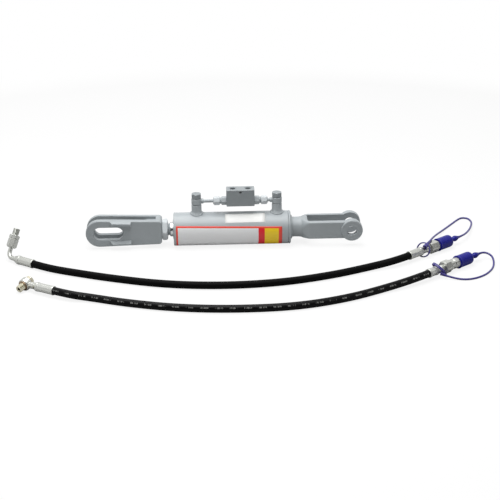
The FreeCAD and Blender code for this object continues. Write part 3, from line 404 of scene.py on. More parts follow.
def rubberFinish(name, look):
    # extruded rubber cover in UV: u is along the hose in centimetres, v once round it
    material = newFinish(name, look)
    tree = material.node_tree
    shader = tree.nodes["Principled BSDF"]
    uv = addNode(tree, "ShaderNodeTexCoord").outputs["UV"]
    parts = addNode(tree, "ShaderNodeSeparateXYZ", links={"Vector": uv})
    marks = look.get("marks")
    if marks:
        # plain dashes of the lay line, worn away in places: pitch and length in mm, around and width in turns
        cell = addNode(tree, "ShaderNodeMath", {"operation": "MODULO", 1: marks["pitch"] / 10}, {0: parts.outputs["X"]})
        dash = addNode(tree, "ShaderNodeMath", {"operation": "LESS_THAN", 1: marks["length"] / 10},
                       {0: cell.outputs[0]})
        off = addNode(tree, "ShaderNodeMath", {"operation": "SUBTRACT", 1: marks["around"]}, {0: parts.outputs["Y"]})
        off = addNode(tree, "ShaderNodeMath", {"operation": "ABSOLUTE"}, {0: off.outputs[0]})
        wide = addNode(tree, "ShaderNodeMath", {"operation": "LESS_THAN", 1: marks["width"]}, {0: off.outputs[0]})
        worn = addNode(tree, "ShaderNodeTexNoise", {"Scale": 3.0, "Detail": 3.0}, {"Vector": uv})
        worn = addNode(tree, "ShaderNodeMapRange", {"From Min": 0.42, "From Max": 0.55, "To Max": marks["strength"]},
                       {"Value": worn.outputs["Fac"]})
        mask = addNode(tree, "ShaderNodeMath", {"operation": "MULTIPLY"}, {0: dash.outputs[0], 1: wide.outputs[0]})
        mask = addNode(tree, "ShaderNodeMath", {"operation": "MULTIPLY"}, {0: mask.outputs[0], 1: worn.outputs[0]})
        base = shader.inputs["Base Color"].links[0].from_socket
        inked = addNode(tree, "ShaderNodeMix", {"data_type": "RGBA", mixB: linear(marks["ink"])},
                        {mixFactor: mask.outputs[0], mixA: base})
        tree.links.new(inked.outputs[mixOut], shader.inputs["Base Color"])
    return material


# wrapped cover: cured under a cloth tape, which leaves a dull finish with a weave's print
finish["wrappedCover"] = rubberFinish("wrappedCover", {
    "tones": ("#060606", "#0b0b0c"), "patch": 800, "rough": (0.5, 0.62), "grain": 220, "relief": 0.12, "space": "UV",
    "stretch": (2.2, 12, 1), "strength": 0.5, "shader": {"IOR": 1.5, "Specular IOR Level": 0.05}})
# smooth cover: extruded through a polished die, so shinier, with a lay line reduced to plain dashes
finish["smoothCover"] = rubberFinish("smoothCover", {
    "tones": ("#060607", "#0a0a0b"), "patch": 900, "rough": (0.3, 0.4), "grain": 400, "relief": 0.05, "space": "UV",
    "stretch": (0.6, 6, 1), "strength": 0.4, "shader": {"IOR": 1.52, "Specular IOR Level": 0.08},
    "marks": {"pitch": 31, "length": 17, "around": 0.16, "width": 0.03, "ink": "#b9bab6", "strength": 0.34}})


def wrappedCover(s, a):
    # the tape's edge winds round once per pitch: r - depth (0.5 + 0.5 cos(turn s / pitch - a))^3
    return hoseRadius - hoseSet["wrapDepth"] * (0.5 + 0.5 * np.cos(turn * s / hoseSet["wrapPitch"] - a)) ** 3


def smoothCover(s, a):
    # a plain round cover: r
    return hoseRadius + 0 * s


onePath, oneLength = routePoints("hoseOne", hoseRoutes["hoseOne"], hoseSet["wrappedStep"])
twoPath, twoLength = routePoints("hoseTwo", hoseRoutes["hoseTwo"], hoseSet["smoothStep"])
hoseOne = tube("hoseOneRubber", onePath, wrappedCover, "cylinder", "wrappedCover", ["hose_1"], sides=36)
hoseTwo = tube("hoseTwoRubber", twoPath, smoothCover, "cylinder", "smoothCover", ["hose_2"], sides=48)
print(f"hoses: {oneLength:.3f} m and {twoLength:.3f} m along their middles")

# crimped sleeves: lip, ten pressed flats, taper to the stem
ferruleSet = {"diameter": 21.0, "flats": 19.4, "count": 10, "lip": 4.0}


def ferrule(name, place, length, taper, taperD, node):
    # a turned profile, hollow for the first 5 mm, with its flats pressed in between two round lips
    lip, end, r, inner = ferruleSet["lip"], length - taper, ferruleSet["diameter"] / 2, hoseRadius - 1.2
    profile = [(0.05, inner), (0.05, r - 0.6), (0.7, r), (lip, r), (lip + 1.4, r - 0.35), (end - lip - 1.4, r - 0.35),
               (end - lip, r), (end, r), (length, taperD / 2), (length, 0), (5, 0), (5, inner), (0.05, inner)]
    return lathe(name, profile, place, "cylinder", "zincPlate", [node], sides=120, spacing=1.2,
                 flats=[(lip + 0.7, end - lip - 0.7, ferruleSet["flats"], ferruleSet["count"])], edge=0.5, hollow=True)


oneHead, twoHead, oneTail, twoTail = (lineOf(place) for place in (headOne, headTwo, tailOne, tailTwo))
ferrule("hoseOneLeftFerrule", oneHead, 58, 12, 12, "hose_1_ferrule_left")
ferrule("hoseTwoLeftFerrule", twoHead, 54, 7, 15, "hose_2_ferrule_left")
oneFerrule = ferrule("hoseOneRightFerrule", oneTail, 46, 5, 18, "hose_1_ferrule_right")
twoFerrule = ferrule("hoseTwoRightFerrule", twoTail, 32, 5, 18, "hose_2_ferrule_right")

# quick couplers: stem, hexagon, body with a groove for the locking balls, sprung valve inside
couplerSet = {"mouth": 103.0, "tip": 139.0, "neck": 16.0, "tipD": 20.5, "grooveD": 17.5, "boreD": 13.0, "lipD": 9.0}


def coupler(name, place, start, hexLow, hexHigh, across, bodyD, node, waist=()):
    # a turned profile with a hexagon left on it; waist holds further (x, r) points of the body between the
    # hexagon and the cap's mouth
    corner, face, drop = hexEnds(across)
    corner -= 0.1
    mouth, tip, body = couplerSet["mouth"], couplerSet["tip"], bodyD / 2
    neck, outer, groove, bore, lip = (couplerSet[key] / 2 for key in ("neck", "tipD", "grooveD", "boreD", "lipD"))
    profile = [(start, 0), (start, neck), (start + 6, neck), (start + 6.5, neck - 0.5), (start + 8, neck - 0.5),
               (start + 8.5, neck), (hexLow, neck), (hexLow, face), (hexLow + drop, corner), (hexHigh - drop, corner),
               (hexHigh, face), (hexHigh, body - 0.8), (hexHigh + 0.8, body), *waist, (mouth - 2, body),
               (mouth - 1, outer), (tip - 12, outer), (tip - 10.5, groove), (tip - 8, groove), (tip - 6.5, outer),
               (tip - 1.5, outer), (tip, outer - 1.5), (tip, lip), (tip - 3, lip), (tip - 3, bore), (tip - 24, bore),
               (tip - 24, 0)]
    return lathe(name, profile, place, "cylinder", "zincPlate", [node],
                 flats=[(hexLow, hexHigh, across, 6)], edge=0.25)


couplerOne = coupler("couplerOne", oneTail, 46, 70, 95, 26, 21.5, "coupler_1")
couplerTwo = coupler("couplerTwo", twoTail, 32, 50, 70, 27, 23, "coupler_2",
                     [(71, 12.4), (75.5, 12.4), (76.5, 10.2), (84, 10.2), (85.5, 12.0), (98, 12.0), (99, 11.5)])

# dust caps: rolled rim, soft shoulders, a tail with an olive-shaped knob
capSet = {"diameter": 30.0, "bead": 0.6, "mouth": 99.5, "length": 44.5, "wall": 3.5, "neckD": 7.5, "neck": 12.0,
          "knobD": 14.0, "knob": 23.0}


def dustCap(name, place, body, node):
    # a cup over the coupler's tip, turned from its rim over the shoulders, the neck and the knob, then back inside
    mouth, hole, r = capSet["mouth"], couplerSet["tipD"] / 2 + 0.35, capSet["diameter"] / 2
    rim, end, neckR, knobR = r + capSet["bead"], mouth + capSet["length"], capSet["neckD"] / 2, capSet["knobD"] / 2
    neck, room = end + capSet["neck"], end - capSet["wall"]
    tip = neck + capSet["knob"]
    profile = [(mouth + 0.6, hole), (mouth, hole + 0.8), (mouth, r - 0.4), (mouth + 0.9, rim), (mouth + 2.2, rim),
               (mouth + 3.2, r - 0.1), (mouth + 5, r - 0.25), (end - 6, r - 0.1), (end - 2.4, r - 0.7),
               (end - 0.7, r - 2.6), (end, r - 5), (end + 0.4, neckR + 2.4), (end + 1.6, neckR + 0.8),
               (end + 3.4, neckR), (neck - 1, neckR), (neck + 1, neckR + 1), (neck + 3.4, knobR - 0.5),
               (neck + 5.5, knobR), (neck + 8, knobR - 0.1), (neck + 12, knobR - 1.2), (tip - 1, 2.5), (tip, 2.0),
               (tip, 0), (room, 0), (room, hole), (mouth + 0.6, hole)]
    return lathe(name, profile, place, body, "dippedPvc", [node], sides=72, spacing=0.9, edge=0.9,
                 hollow=True, sharp=60)


dustCap("dustCapOne", oneTail, "cap_1", "dust_cap_1")
dustCap("dustCapTwo", twoTail, "cap_2", "dust_cap_2")

# straps: a thin cord from each knob, round in a loop and back to a ring on the coupler's stem; tabs are each
# wedge's length and rise, at is a ring's place along the hose end, drop its hang
strapSet = {"diameter": 4.7, "floor": -37.5, "step": 1.2, "tabs": {"strapOne": (30.0, 7.5), "strapTwo": (17.0, 3.6)},
            "ringOne": {"at": 51.0, "normal": (0.6, 0.74, -0.3), "radius": 16.6, "drop": 1.2, "flat": 0.8},
            "ringTwo": {"at": 38.0, "normal": (0.68, 0.33, 0.65), "radius": 18.6, "drop": 0.3, "flat": 1.7}}
lying = strapSet["floor"]
knobEnd = capSet["mouth"] + capSet["length"] + capSet["neck"] + capSet["knob"]
strapRoutes = {
    "strapOne": [ahead(tailOne, knobEnd), ahead(tailOne, knobEnd + 14), (289, 11, lying + 9), (304, 50, lying + 5),
                 (315, 88, lying + 1.5), (317, 112, lying), (312, 130, lying), (297, 134, lying), (283, 118, lying),
                 (261, 86, lying), (235, 47, lying + 1), (208, -5, lying + 9), (186, -76, lying + 28),
                 (176, -102, lying + 31), (164, -117, lying + 20.5)],
    "strapTwo": [ahead(tailTwo, knobEnd), ahead(tailTwo, knobEnd + 9), (305.5, -132.5, lying + 12.5),
                 (313.5, -139, lying + 10.5), (317.5, -149, lying + 8), (317.5, -166, lying + 4.5),
                 (312, -190, lying + 1), (301, -212, lying), (283, -236, lying), (258, -254, lying),
                 (233, -260, lying), (207, -254, lying + 2), (178, -245.5, lying + 9.5)],
}


def strap(name, node):
    # a thin cord, r + 0.5 e^(-s / 4), swollen where it grows out of the knob; at its ring a wedge tab that widens
    # upwards by rise (s / long)^1.3
    controls, step = strapRoutes[name], strapSet["step"]
    path, length = routePoints(name, controls, step)
    r, (long, rise) = strapSet["diameter"] / 2, strapSet["tabs"][name]
    piece = tube(name, path, lambda s, a: r * (0.98 + 0.02 * np.cos(2 * a)) + 0.5 * np.exp(-s / 4), None, "strapPvc",
                 [node])
    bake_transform(piece)
    tab = tube(name + "Tab", path[-int(long / step) - 1:], lambda s, a: r * 1.04 + rise * np.clip(s / long, 0, 1) ** 1.3
               * np.maximum(np.cos(a), -0.25 * np.cos(a)), "cylinder", "strapPvc")
    return length


def strapRing(name, place, look, node):
    # a flat closed ring that hangs loosely round the stem, so its plane leans away from square:
    # centre + radius (cos a upward + sin a (normal x upward))
    normal = np.array(look["normal"], float)
    normal /= np.linalg.norm(normal)
    upward = np.array([0, 0, 1]) - normal * normal[2]
    upward /= np.linalg.norm(upward)
    a = np.arange(96)[:, None] / 96 * turn
    centre = np.array(ahead(place, look["at"])) + [0, 0, look["drop"]]
    path = (centre + look["radius"] * (np.cos(a) * upward + np.sin(a) * np.cross(normal, upward))) * mm
    return tube(name, path, lambda s, b: 1.5 + look["flat"] * np.cos(b) ** 2, "cylinder", "strapPvc",
                [node], sides=20, side=tuple(normal), closed=True)


strapOneLength = strap("strapOne", "strap_1")
strapTwoLength = strap("strapTwo", "strap_2")
strapRing("strapRingOne", tailOne, strapSet["ringOne"], "strap_ring_1")
strapRing("strapRingTwo", tailTwo, strapSet["ringTwo"], "strap_ring_2")
print(f"straps: {strapOneLength:.3f} m and {strapTwoLength:.3f} m")

# swivel nut and adapter on hose 1's bent tube, which leans back from upright; their x runs up the tube
elbowSet = {"corner": 80.0, "lean": 32.0}
elbowUp = Matrix.Rotation(math.radians(elbowSet["lean"]), 3, Vector(oneHead[1])) @ Vector((0, 0, 1))
swivelPlace = (ahead(headOne, elbowSet["corner"]), elbowUp, -Vector(oneHead[1]))
swivelSet = {"low": 23.0, "length": 22.0, "across": 22.0, "hole": 5.05, "room": 7.3, "shoulder": 7.7}
adapterSet = {"nose": 37.3, "noseR": 7.25, "hex": 9.0, "across": 22.0, "threadD": 16.0, "tip": 16.0, "bore": 8.0,
              "pitch": 1.5, "depth": 0.85}
swivelTop = swivelSet["low"] + swivelSet["length"]


def swivelNut():
    # a hexagon bored narrow over the tube and wide over the adapter's nose
    corner, face, drop = hexEnds(swivelSet["across"])
    low, hole, room, shoulder = swivelSet["low"], swivelSet["hole"], swivelSet["room"], swivelSet["shoulder"]
    profile = [(low, hole), (low, face - 1.5), (low + 3, corner - 0.4), (low + 4, corner), (swivelTop - drop, corner),
               (swivelTop, face), (swivelTop, room), (low + shoulder, room), (low + shoulder, hole), (low, hole)]
    lathe("swivelNut", profile, swivelPlace, "swivel", "zincPlate", ["swivel_nut"], spacing=0.6,
          flats=[(low, swivelTop, swivelSet["across"], 6)], edge=0.25, hollow=True)


def adapter():
    # nose, hexagon, relief and thread, bored through and flared at its tip
    corner, face, drop = hexEnds(adapterSet["across"])
    nose, noseR, r, bore = adapterSet["nose"], adapterSet["noseR"], adapterSet["threadD"] / 2, adapterSet["bore"] / 2
    hexTop = swivelTop + adapterSet["hex"]
    tip = hexTop + adapterSet["tip"]
    profile = [(nose, bore), (nose, noseR), (swivelTop, noseR), (swivelTop, face), (swivelTop + drop, corner),
               (hexTop - drop, corner), (hexTop, face), (hexTop, r - 0.9), (hexTop + 1.6, r - 0.9), (hexTop + 2.2, r),
               (tip - 1, r), (tip, r - 1), (tip, bore + 2), (tip - 3, bore), (nose, bore)]
    lathe("adapter", profile, swivelPlace, "swivel", "zincPlate", ["hose_1_adapter"], spacing=0.25,
          flats=[(swivelTop, hexTop, adapterSet["across"], 6)],
          threads=[(hexTop + 1.9, tip - 0.4, adapterSet["pitch"], adapterSet["depth"])], edge=0.2, hollow=True)


swivelNut()
adapter()

# banjo screw through hose 2's eye, which is rolled a little about the hose
eyeSet = {"centre": 80.0, "roll": -10.0}
eyeRoll = Matrix.Rotation(math.radians(eyeSet["roll"]), 3, Vector(twoHead[1]))
screwPlace = (ahead(headTwo, eyeSet["centre"]), eyeRoll @ Vector(twoHead[1]).cross((0, 0, 1)),
              eyeRoll @ Vector((0, 0, 1)))
screwSet = {"seat": 10.0, "tip": 15.0, "diameter": 16.0, "across": 19.0, "head": 8.0, "hollow": 7.0, "pitch": 1.5,
            "depth": 0.85}


def banjoScrew():
    # hexagon head, shank and thread, drilled up from its tip for the oil
    corner, face, drop = hexEnds(screwSet["across"])
    r, drill, seat = screwSet["diameter"] / 2, screwSet["hollow"] / 2, screwSet["seat"]
    end, under = -seat - screwSet["tip"], seat + 0.3
    high = under + screwSet["head"]
    profile = [(3, 0), (3, drill - 0.4), (2, drill), (end + 1, drill), (end, drill + 0.9), (end, r - 1), (end + 1, r),
               (under, r), (under, face), (under + drop * 0.5, corner), (high - drop, corner), (high, face), (high, 0)]
    lathe("banjoScrew", profile, screwPlace, "banjo_screw", "yellowZinc", ["banjo_screw"], spacing=0.25,
          flats=[(under, high, screwSet["across"], 6)],
          threads=[(end + 0.6, -seat - 2, screwSet["pitch"], screwSet["depth"])], edge=0.2)


banjoScrew()
softened("hose_1_elbow", 0.3, "zincPlate", "elbowTube")
softened("hose_2_banjo_eye", 0.8, "zincPlate", "banjoEyeTwo", limit=28)
print("hose ends made")


# The cylinder: what is turned on its axis

axisPlace = ((0, 0, 0), (1, 0, 0), (0, 0, 1))
rodSet = {"end": -503.0, "shoulder": -437.0, "piston": -224.0, "tail": -172.0, "threadD": 30.0, "diameter": 35.0,
          "seatD": 24.0, "pitch": 3.5, "depth": 1.9}
nutSet = {"left": -456.1, "right": -442.1, "across": 46.0, "hole": 15.05}


def pistonRod():
    # the ground rod with its seat for the piston, and its thread as a piece of its own
    end, shoulder, piston, tail = (rodSet[key] for key in ("end", "shoulder", "piston", "tail"))
    thread, r, seat = rodSet["threadD"] / 2, rodSet["diameter"] / 2, rodSet["seatD"] / 2
    lathe("pistonRod", [(shoulder, 0), (shoulder, r - 1.5), (shoulder + 1.5, r), (piston, r), (piston, seat),
                        (tail - 1.5, seat), (tail, seat - 1.5), (tail, 0)],
          axisPlace, "rod", "hardChrome", ["piston_rod"], spacing=1.5, edge=0.2)
    lathe("rodThread", [(end, 0), (end, thread - 2), (end + 2, thread), (shoulder + 0.5, thread), (shoulder + 0.5, 0)],
          axisPlace, "rod", "sprayedEnamel", spacing=0.6,
          threads=[(end + 1, shoulder - 0.5, rodSet["pitch"], rodSet["depth"])], edge=0.2)


def lockNut():
    # a hexagon with its corners turned off at both faces and its hole countersunk
    corner, face, drop = hexEnds(nutSet["across"])
    left, right, hole = nutSet["left"], nutSet["right"], nutSet["hole"]
    profile = [(left + 1.6, hole), (left, hole + 1.6), (left, face), (left + drop, corner), (right - drop, corner),
               (right, face), (right, hole + 1.6), (right - 1.6, hole), (left + 1.6, hole)]
    lathe("lockNut", profile, axisPlace, "lock_nut", "enamelOnNut", ["lock_nut"], spacing=0.5,
          flats=[(left, right, nutSet["across"], 6)], edge=0.3, hollow=True)


pistonRod()
lockNut()

# forged and machined pieces keep the CAD shape with their edges rounded
softPieces = {
    # node: edge radius, finish
    "slotted_fork": (0.9, "enamelOnForging"), "clevis": (1.0, "enamelOnForging"), "valve_block": (0.4, "enamelOnBlock"),
    "barrel_tube": (0.4, "sprayedEnamel"), "gland": (0.4, "sprayedEnamel"),
    "port_boss_rod_side": (0.4, "sprayedEnamel"), "port_boss_base_side": (0.4, "sprayedEnamel"),
    "banjo_eye_rod_side": (0.5, "sprayedEnamel"), "banjo_eye_base_side": (0.5, "sprayedEnamel"),
    # the sealing washers' darker tone is painted shade in the grooves of the port stacks
    "sealing_washers": (0.2, "enamelOnBlock"),
}
for node, (width, look) in softPieces.items():
    softened(node, width, look)

# banjo bolts on top of the two ports
portSet = {"rodSide": -372.0, "baseSide": -179.0, "low": 50.0, "shankR": 8.0, "head": 79.0, "headHeight": 11.0,
           "across": 22.0}


def banjoBolt(side, node):
    # shank, hexagon head with turned-off corners and a shallow dish in its top
    corner, face, drop = hexEnds(portSet["across"])
    low, shank, head = portSet["low"], portSet["shankR"], portSet["head"]
    high = head + portSet["headHeight"]
    profile = [(low, 0), (low, shank - 1), (low + 1, shank), (head, shank), (head, face), (head + 0.8, corner),
               (high - drop, corner), (high, face), (high, 3.2), (high - 0.5, 2.6), (high - 0.5, 0)]
    lathe(side + "BanjoBolt", profile, ((portSet[side], 0, 0), (0, 0, 1), (-1, 0, 0)), "cylinder", "enamelOnBlock",
          [node], spacing=0.5, flats=[(head, high, portSet["across"], 6)], edge=0.3)


banjoBolt("rodSide", "banjo_bolt_rod_side")
banjoBolt("baseSide", "banjo_bolt_base_side")

# union nuts and stud fittings, one of each at both faces of the valve block
unionSet = {"pipeZ": 70.5, "block": -266.5, "halfBlock": 33.5, "hex": 12.0, "gap": 4.0, "length": 16.0, "across": 19.0,
            "stud": 22.0, "threadR": 8.0, "pipeR": 4.05, "socket": 6.0, "pitch": 1.5, "depth": 0.85}


def pipeFitting(side, sign):
    # a stud with a hexagon and a thread, and the union nut that is screwed on it over the pipe
    corner, face, drop = hexEnds(unionSet["across"])
    at = ((unionSet["block"] + sign * unionSet["halfBlock"], 0, unionSet["pipeZ"]), (sign, 0, 0), (0, 0, 1))
    hexEnd, stud, thread, pipe = (unionSet[key] for key in ("hex", "stud", "threadR", "pipeR"))
    outer = hexEnd + unionSet["gap"]
    back, socket, room = outer + unionSet["length"], outer + unionSet["socket"], thread + 0.02
    lathe(side + "Stud", [(0, 0), (0, corner), (hexEnd - drop, corner), (hexEnd, face), (hexEnd, thread),
                          (stud - 1, thread), (stud, thread - 1), (stud, 0)],
          at, "cylinder", "sprayedEnamel", spacing=0.3, flats=[(0, hexEnd, unionSet["across"], 6)],
          threads=[(hexEnd + 0.6, stud - 0.5, unionSet["pitch"], unionSet["depth"])], edge=0.2)
    lathe(side + "UnionNut", [(outer, room), (outer, face), (outer + drop, corner), (back - 3.2, corner),
                              (back - 1.6, face), (back, face - 2.4), (back, pipe), (socket, pipe), (socket, room),
                              (outer, room)],
          at, "cylinder", "enamelOnNut", spacing=0.4, flats=[(outer, back, unionSet["across"], 6)],
          edge=0.25, hollow=True)


pipeFitting("rodSide", -1)
pipeFitting("baseSide", 1)
print("cylinder pieces made")


# Weld beads: overlapping ripples laid down by hand
barrelRadius = 40.0
weldSet = {"ripple": 3.4, "height": 0.3, "baseX": -149.6, "baseR": 37.0, "baseBead": 3.2, "neckX": -145.6,
           "neckR": 26.4, "neckBead": 2.9, "portR": 13.6, "portBead": 2.6}


def weldBead(name, path, bead, side):
    # a closed tube whose radius swells and drops once per ripple, with each ripple bent back at its sides:
    # bead + height (wave^0.6 - 0.6) + half of two slow sines that make the hand uneven
    length = np.linalg.norm(np.diff(np.concatenate([path, path[:1]]), axis=0), axis=1).sum() / mm
    count = round(length / weldSet["ripple"])

    def swell(s, b):
        wave = (s / length * count + 0.22 * np.cos(b) ** 2) % 1
        uneven = 0.25 * np.sin(turn * 3 * s / length) + 0.18 * np.sin(turn * 7 * s / length + 1.3)
        return bead + weldSet["height"] * (wave ** 0.6 - 0.6) + 0.5 * uneven

    return tube(name, path, swell, "cylinder", "sprayedEnamel", sides=20, side=side, closed=True,
                sharp=70)


roundAxis = np.arange(720)[:, None] / 720 * turn
ring = np.cos(roundAxis) * np.array([0, 0, 1]) + np.sin(roundAxis) * np.array([0, 1, 0])
baseWeld = weldBead("baseWeld", (ring * weldSet["baseR"] + [weldSet["baseX"], 0, 0]) * mm, weldSet["baseBead"],
                    (1, 0, 0))
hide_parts("base_welds")
weldBead("neckWeld", (ring * weldSet["neckR"] + [weldSet["neckX"], 0, 0]) * mm, weldSet["neckBead"], (1, 0, 0))
roundPort = np.arange(400)[:, None] / 400 * turn
for side in ("rodSide", "baseSide"):
    x, y = weldSet["portR"] * np.cos(roundPort), weldSet["portR"] * np.sin(roundPort)
    path = np.concatenate([portSet[side] + x, y, np.sqrt(barrelRadius ** 2 - y ** 2) + 0.5], 1) * mm
    weldBead(side + "PortWeld", path, weldSet["portBead"], (0, 0, 1))
print("welds made")


# Printed label and plain sticker, wrapped round the barrel; from, to and skew are degrees from the top
labelSet = {"left": -422.0, "right": -168.0, "from": 59.5, "to": 161.5, "skew": 8.5, "border": 4.4, "panelEnd": -225.0,
            "barEnd": -210.0, "squareEnd": -176.5, "thick": 0.12}
stickerSet = {"left": -304.0, "right": -208.0, "from": 13.0, "to": 52.0, "skew": -1.0, "thick": 0.1}


def wrapped(name, xs, degrees, look, materials, choose):
    # a sheet on the barrel: x is along the axis, a the angle from the top towards the viewer; it is stuck on a
    # little askew, a + skew (x - left) / (right - left)
    radius = barrelRadius + 0.02
    x, a = np.meshgrid(np.array(xs), np.radians(degrees), indexing="ij")
    lean = a + math.radians(look["skew"]) * (x - look["left"]) / (look["right"] - look["left"])
    points = np.stack([x, -radius * np.sin(lean), radius * np.cos(lean)], -1) * mm
    rows, columns = x.shape
    i, j = np.meshgrid(np.arange(rows - 1), np.arange(columns - 1), indexing="ij")
    here, below = i * columns + j, (i + 1) * columns + j
    faces = np.stack([here, below, below + 1, here + 1], -1).reshape(-1, 4)
    mesh = bpy.data.meshes.new(name)
    mesh.from_pydata(points.reshape(-1, 3).tolist(), [], faces.tolist())
    middleX = (x[:-1, :-1] + x[1:, 1:]) / 2
    middleA = np.degrees(a[:-1, :-1] + a[1:, 1:]) / 2
    mesh.polygons.foreach_set("material_index", choose(middleX, middleA).ravel().astype(np.int32))
    if mesh.polygons[0].normal.dot(Vector((0, -math.sin(a[0, 0]), math.cos(a[0, 0])))) < 0:
        mesh.flip_normals()
    piece = addPiece(name, mesh, "cylinder", materials)
    film = piece.modifiers.new("film", "SOLIDIFY")
    film.thickness, film.offset = look["thick"] * mm, 1.0
    return piece


edgeAngle = math.degrees(labelSet["border"] / barrelRadius)
panelLeft, panelEnd, barEnd, squareEnd = (labelSet["left"] + labelSet["border"], labelSet["panelEnd"],
                                          labelSet["barEnd"], labelSet["squareEnd"])
innerFrom, innerTo = labelSet["from"] + edgeAngle, labelSet["to"] - edgeAngle


def labelInk(x, a):
    # 0 red border, 1 grey panel, 2 crimson bar, 3 yellow square
    inside = (a > innerFrom) & (a < innerTo)
    ink = np.zeros(x.shape)
    ink = np.where(inside & (x > panelLeft) & (x < panelEnd), 1, ink)
    ink = np.where(inside & (x > panelEnd) & (x < barEnd), 2, ink)
    return np.where(inside & (x > barEnd) & (x < squareEnd), 3, ink)


def stickerInk(x, a):
    # one paper all over
    return 0 * x


labelXs = np.concatenate([np.linspace(labelSet["left"], labelSet["right"], 40),
                          [panelLeft, panelEnd, barEnd, squareEnd]])
labelDegrees = np.concatenate([np.linspace(labelSet["from"], labelSet["to"], 60), [innerFrom, innerTo]])
wrapped("label", np.unique(labelXs), np.unique(labelDegrees), labelSet,
        ["vinylRed", "vinylGrey", "vinylCrimson", "vinylYellow"], labelInk)
wrapped("sticker", np.linspace(stickerSet["left"], stickerSet["right"], 12),
        np.linspace(stickerSet["from"], stickerSet["to"], 30), stickerSet, ["coatedPaper"], stickerInk)
print("label and sticker made")


# CAD pieces that keep their own mesh get their finish here
keptNodes = {
    "sprayedEnamel": ["pipe_rod_side", "pipe_base_side"],
    "bareSteel": ["end_cap", "piston", "piston_nut", "cutting_rings", "valve_seats", "poppet_base_side",
                  "poppet_rod_side", "pilot_piston"],
    "nitrileRubber": ["rod_wiper", "rod_seal", "gland_oring", "piston_seal"],
    "acetalGuide": ["rod_guide", "wear_rings"],
    "springWire": ["poppet_spring_base_side", "poppet_spring_rod_side", "coupler_spring_1", "coupler_spring_2"],
    "zincPlate": ["coupler_valve_1", "coupler_valve_2"],
    "dullCopper": ["hose_2_washers"],
}
for look, members in keptNodes.items():
    for node in members:
        nodes[node].data.materials.clear()
        nodes[node].data.materials.append(finish[look])
# compression springs, listed with the joint that presses each; here each only gets a mesh of its own
springSet = {
    # node: joint, axis, fixed end, free length and travel
    "poppet_spring_base_side": ("check_base", (1, 0, 0), (-236.6, 0, 70.5), 8.35, 2.0),
    "poppet_spring_rod_side": ("check_rod", (1, 0, 0), (-296.4, 0, 70.5), 8.35, 2.0),
    "coupler_spring_1": ("valve_1_press", oneTail[1], ahead(tailOne, 115.1), 13.49, 5.0),
    "coupler_spring_2": ("valve_2_press", twoTail[1], ahead(tailTwo, 115.1), 13.49, 5.0),
}
for node, (joint, axis, fixed, free, travel) in springSet.items():
    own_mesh(nodes[node])
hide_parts("stud_fittings")
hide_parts("union_nuts")
print("CAD pieces finished")


# Floor, background and soft studio light
stageSet = {"floorZ": -0.04, "size": 40.0, "paper": "#c4c4c4", "seenPaper": "#fafafa", "lift": 0.86,
            "middle": (-0.25, -0.1, 0), "fade": (0.8, 1.9), "tableEdge": (-1.4, -0.8), "room": 0.12, "sky": 0.17,
            "card": "#1c1c1c", "aim": (-0.3, -0.1, 0)}
cardCorners = {"front": ((-3.5, -3.7, 0.05), (3.5, -3.7, 0.05), (3.5, -3.7, 2.4), (-3.5, -3.7, 2.4)),
               "right": ((2.3, -1.1, 0.3), (2.3, 0.1, 0.3), (2.3, 0.1, 1.5), (2.3, -1.1, 1.5))}
lampSet = {"top": {"power": 77.0, "size": (2.6, 1.8), "at": (-0.5, -0.15, 2.3)},
           "front": {"power": 1.0, "size": (2.4, 1.2), "at": (-1.2, -2.4, 1.3)}}


def stagePiece(name, points, material):
    # one flat four-cornered sheet that belongs to the studio and not to the part
    mesh = bpy.data.meshes.new(name)
    mesh.from_pydata(points, [], [(0, 1, 2, 3)])
    mesh.materials.append(material)
    piece = bpy.data.objects.new(name, mesh)
    scene.collection.objects.link(piece)
    return piece


# seamless white paper on a table: its shadows are lifted where the camera sees it, it fades to pure white far off,
# glossy rays find a dim room beyond the table's front edge, and the object's own underside gets a greyer bounce
paper = bpy.data.materials.new("backgroundPaper")
paper.use_nodes = True
tree = paper.node_tree
shader = tree.nodes["Principled BSDF"]
shader.inputs["Roughness"].default_value = 0.9
shader.inputs["Specular IOR Level"].default_value = 0.0
ray = addNode(tree, "ShaderNodeLightPath")
tone = addNode(tree, "ShaderNodeMix", {"data_type": "RGBA", mixA: linear(stageSet["paper"]),
                                       mixB: linear(stageSet["seenPaper"])}, {mixFactor: ray.outputs["Is Camera Ray"]})
tree.links.new(tone.outputs[mixOut], shader.inputs["Base Color"])
where = addNode(tree, "ShaderNodeTexCoord").outputs["Object"]
off = addNode(tree, "ShaderNodeVectorMath", {"operation": "DISTANCE", 1: stageSet["middle"]}, {0: where})
far = addNode(tree, "ShaderNodeMapRange", {"From Min": stageSet["fade"][0], "From Max": stageSet["fade"][1],
                                           "interpolation_type": "SMOOTHSTEP"}, {"Value": off.outputs["Value"]})
parts = addNode(tree, "ShaderNodeSeparateXYZ", links={"Vector": where})
onTable = addNode(tree, "ShaderNodeMapRange", {"From Min": stageSet["tableEdge"][0], "To Min": stageSet["room"],
                                               "From Max": stageSet["tableEdge"][1]}, {"Value": parts.outputs["Y"]})
offTable = addNode(tree, "ShaderNodeMath", {"operation": "SUBTRACT", 0: 1.0}, {1: onTable.outputs["Result"]})
dimmed = addNode(tree, "ShaderNodeMath", {"operation": "MULTIPLY"},
                 {0: offTable.outputs[0], 1: ray.outputs["Is Glossy Ray"]})
glow = addNode(tree, "ShaderNodeMath", {"operation": "SUBTRACT", 0: 1.0}, {1: dimmed.outputs[0]})
lifted = addNode(tree, "ShaderNodeMath", {"operation": "MAXIMUM", 1: stageSet["lift"]}, {0: far.outputs["Result"]})
seen = addNode(tree, "ShaderNodeMath", {"operation": "MULTIPLY"},
               {0: lifted.outputs[0], 1: ray.outputs["Is Camera Ray"]})
beyond = addNode(tree, "ShaderNodeMath", {"operation": "MAXIMUM"}, {0: far.outputs["Result"], 1: offTable.outputs[0]})
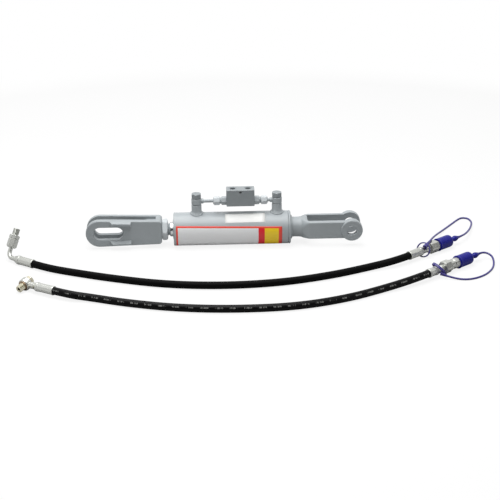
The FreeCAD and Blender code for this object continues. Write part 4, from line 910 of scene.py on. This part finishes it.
mirrored = addNode(tree, "ShaderNodeMath", {"operation": "MULTIPLY"},
                   {0: beyond.outputs[0], 1: ray.outputs["Is Glossy Ray"]})
share = addNode(tree, "ShaderNodeMath", {"operation": "MAXIMUM"}, {0: seen.outputs[0], 1: mirrored.outputs[0]})
white = addNode(tree, "ShaderNodeEmission", {"Color": (1, 1, 1, 1)}, {"Strength": glow.outputs[0]})
mixed = addNode(tree, "ShaderNodeMixShader", links={0: share.outputs[0], 1: shader.outputs[0], 2: white.outputs[0]})
tree.links.new(mixed.outputs[0], tree.nodes["Material Output"].inputs["Surface"])
reach, floorZ = stageSet["size"] / 2, stageSet["floorZ"]
stagePiece("floor", [(x, y, floorZ) for x, y in ((-reach, -reach), (reach, -reach), (reach, reach), (-reach, reach))],
           paper)

# dark cards behind the camera and at the right that only reflections see: they give the metal its dark bands
dark = bpy.data.materials.new("darkCard")
dark.use_nodes = True
tree = dark.node_tree
tree.nodes.clear()
shade = addNode(tree, "ShaderNodeEmission", {"Color": linear(stageSet["card"])})
addNode(tree, "ShaderNodeOutputMaterial", links={"Surface": shade.outputs[0]})
for side, corners in cardCorners.items():
    card = stagePiece(side + "Card", corners, dark)
    card.visible_camera = card.visible_diffuse = card.visible_shadow = card.visible_transmission = False

# a dim even sky that lights the object; what looks straight at it or mirrors it sees white
world = bpy.data.worlds.new("studio")
scene.world = world
world.use_nodes = True
tree = world.node_tree
tree.nodes.clear()
ray = addNode(tree, "ShaderNodeLightPath")
seen = addNode(tree, "ShaderNodeMath", {"operation": "MAXIMUM"},
               {0: ray.outputs["Is Camera Ray"], 1: ray.outputs["Is Glossy Ray"]})
seen = addNode(tree, "ShaderNodeMath", {"operation": "MAXIMUM"},
               {0: seen.outputs[0], 1: ray.outputs["Is Transmission Ray"]})
light = addNode(tree, "ShaderNodeBackground", {"Color": (1, 1, 1, 1), "Strength": stageSet["sky"]})
white = addNode(tree, "ShaderNodeBackground", {"Color": (1, 1, 1, 1), "Strength": 1.0})
mixed = addNode(tree, "ShaderNodeMixShader", links={0: seen.outputs[0], 1: light.outputs[0], 2: white.outputs[0]})
addNode(tree, "ShaderNodeOutputWorld", links={"Surface": mixed.outputs[0]})

for name, look in lampSet.items():
    lamp = bpy.data.lights.new(name, "AREA")
    lamp.shape, lamp.energy = "RECTANGLE", look["power"]
    lamp.size, lamp.size_y = look["size"]
    holder = bpy.data.objects.new(name, lamp)
    holder.location = look["at"]
    aim = Vector(look["at"]) - Vector(stageSet["aim"])
    holder.rotation_euler = aim.to_track_quat("Z", "Y").to_euler()
    scene.collection.objects.link(holder)
print("stage set")
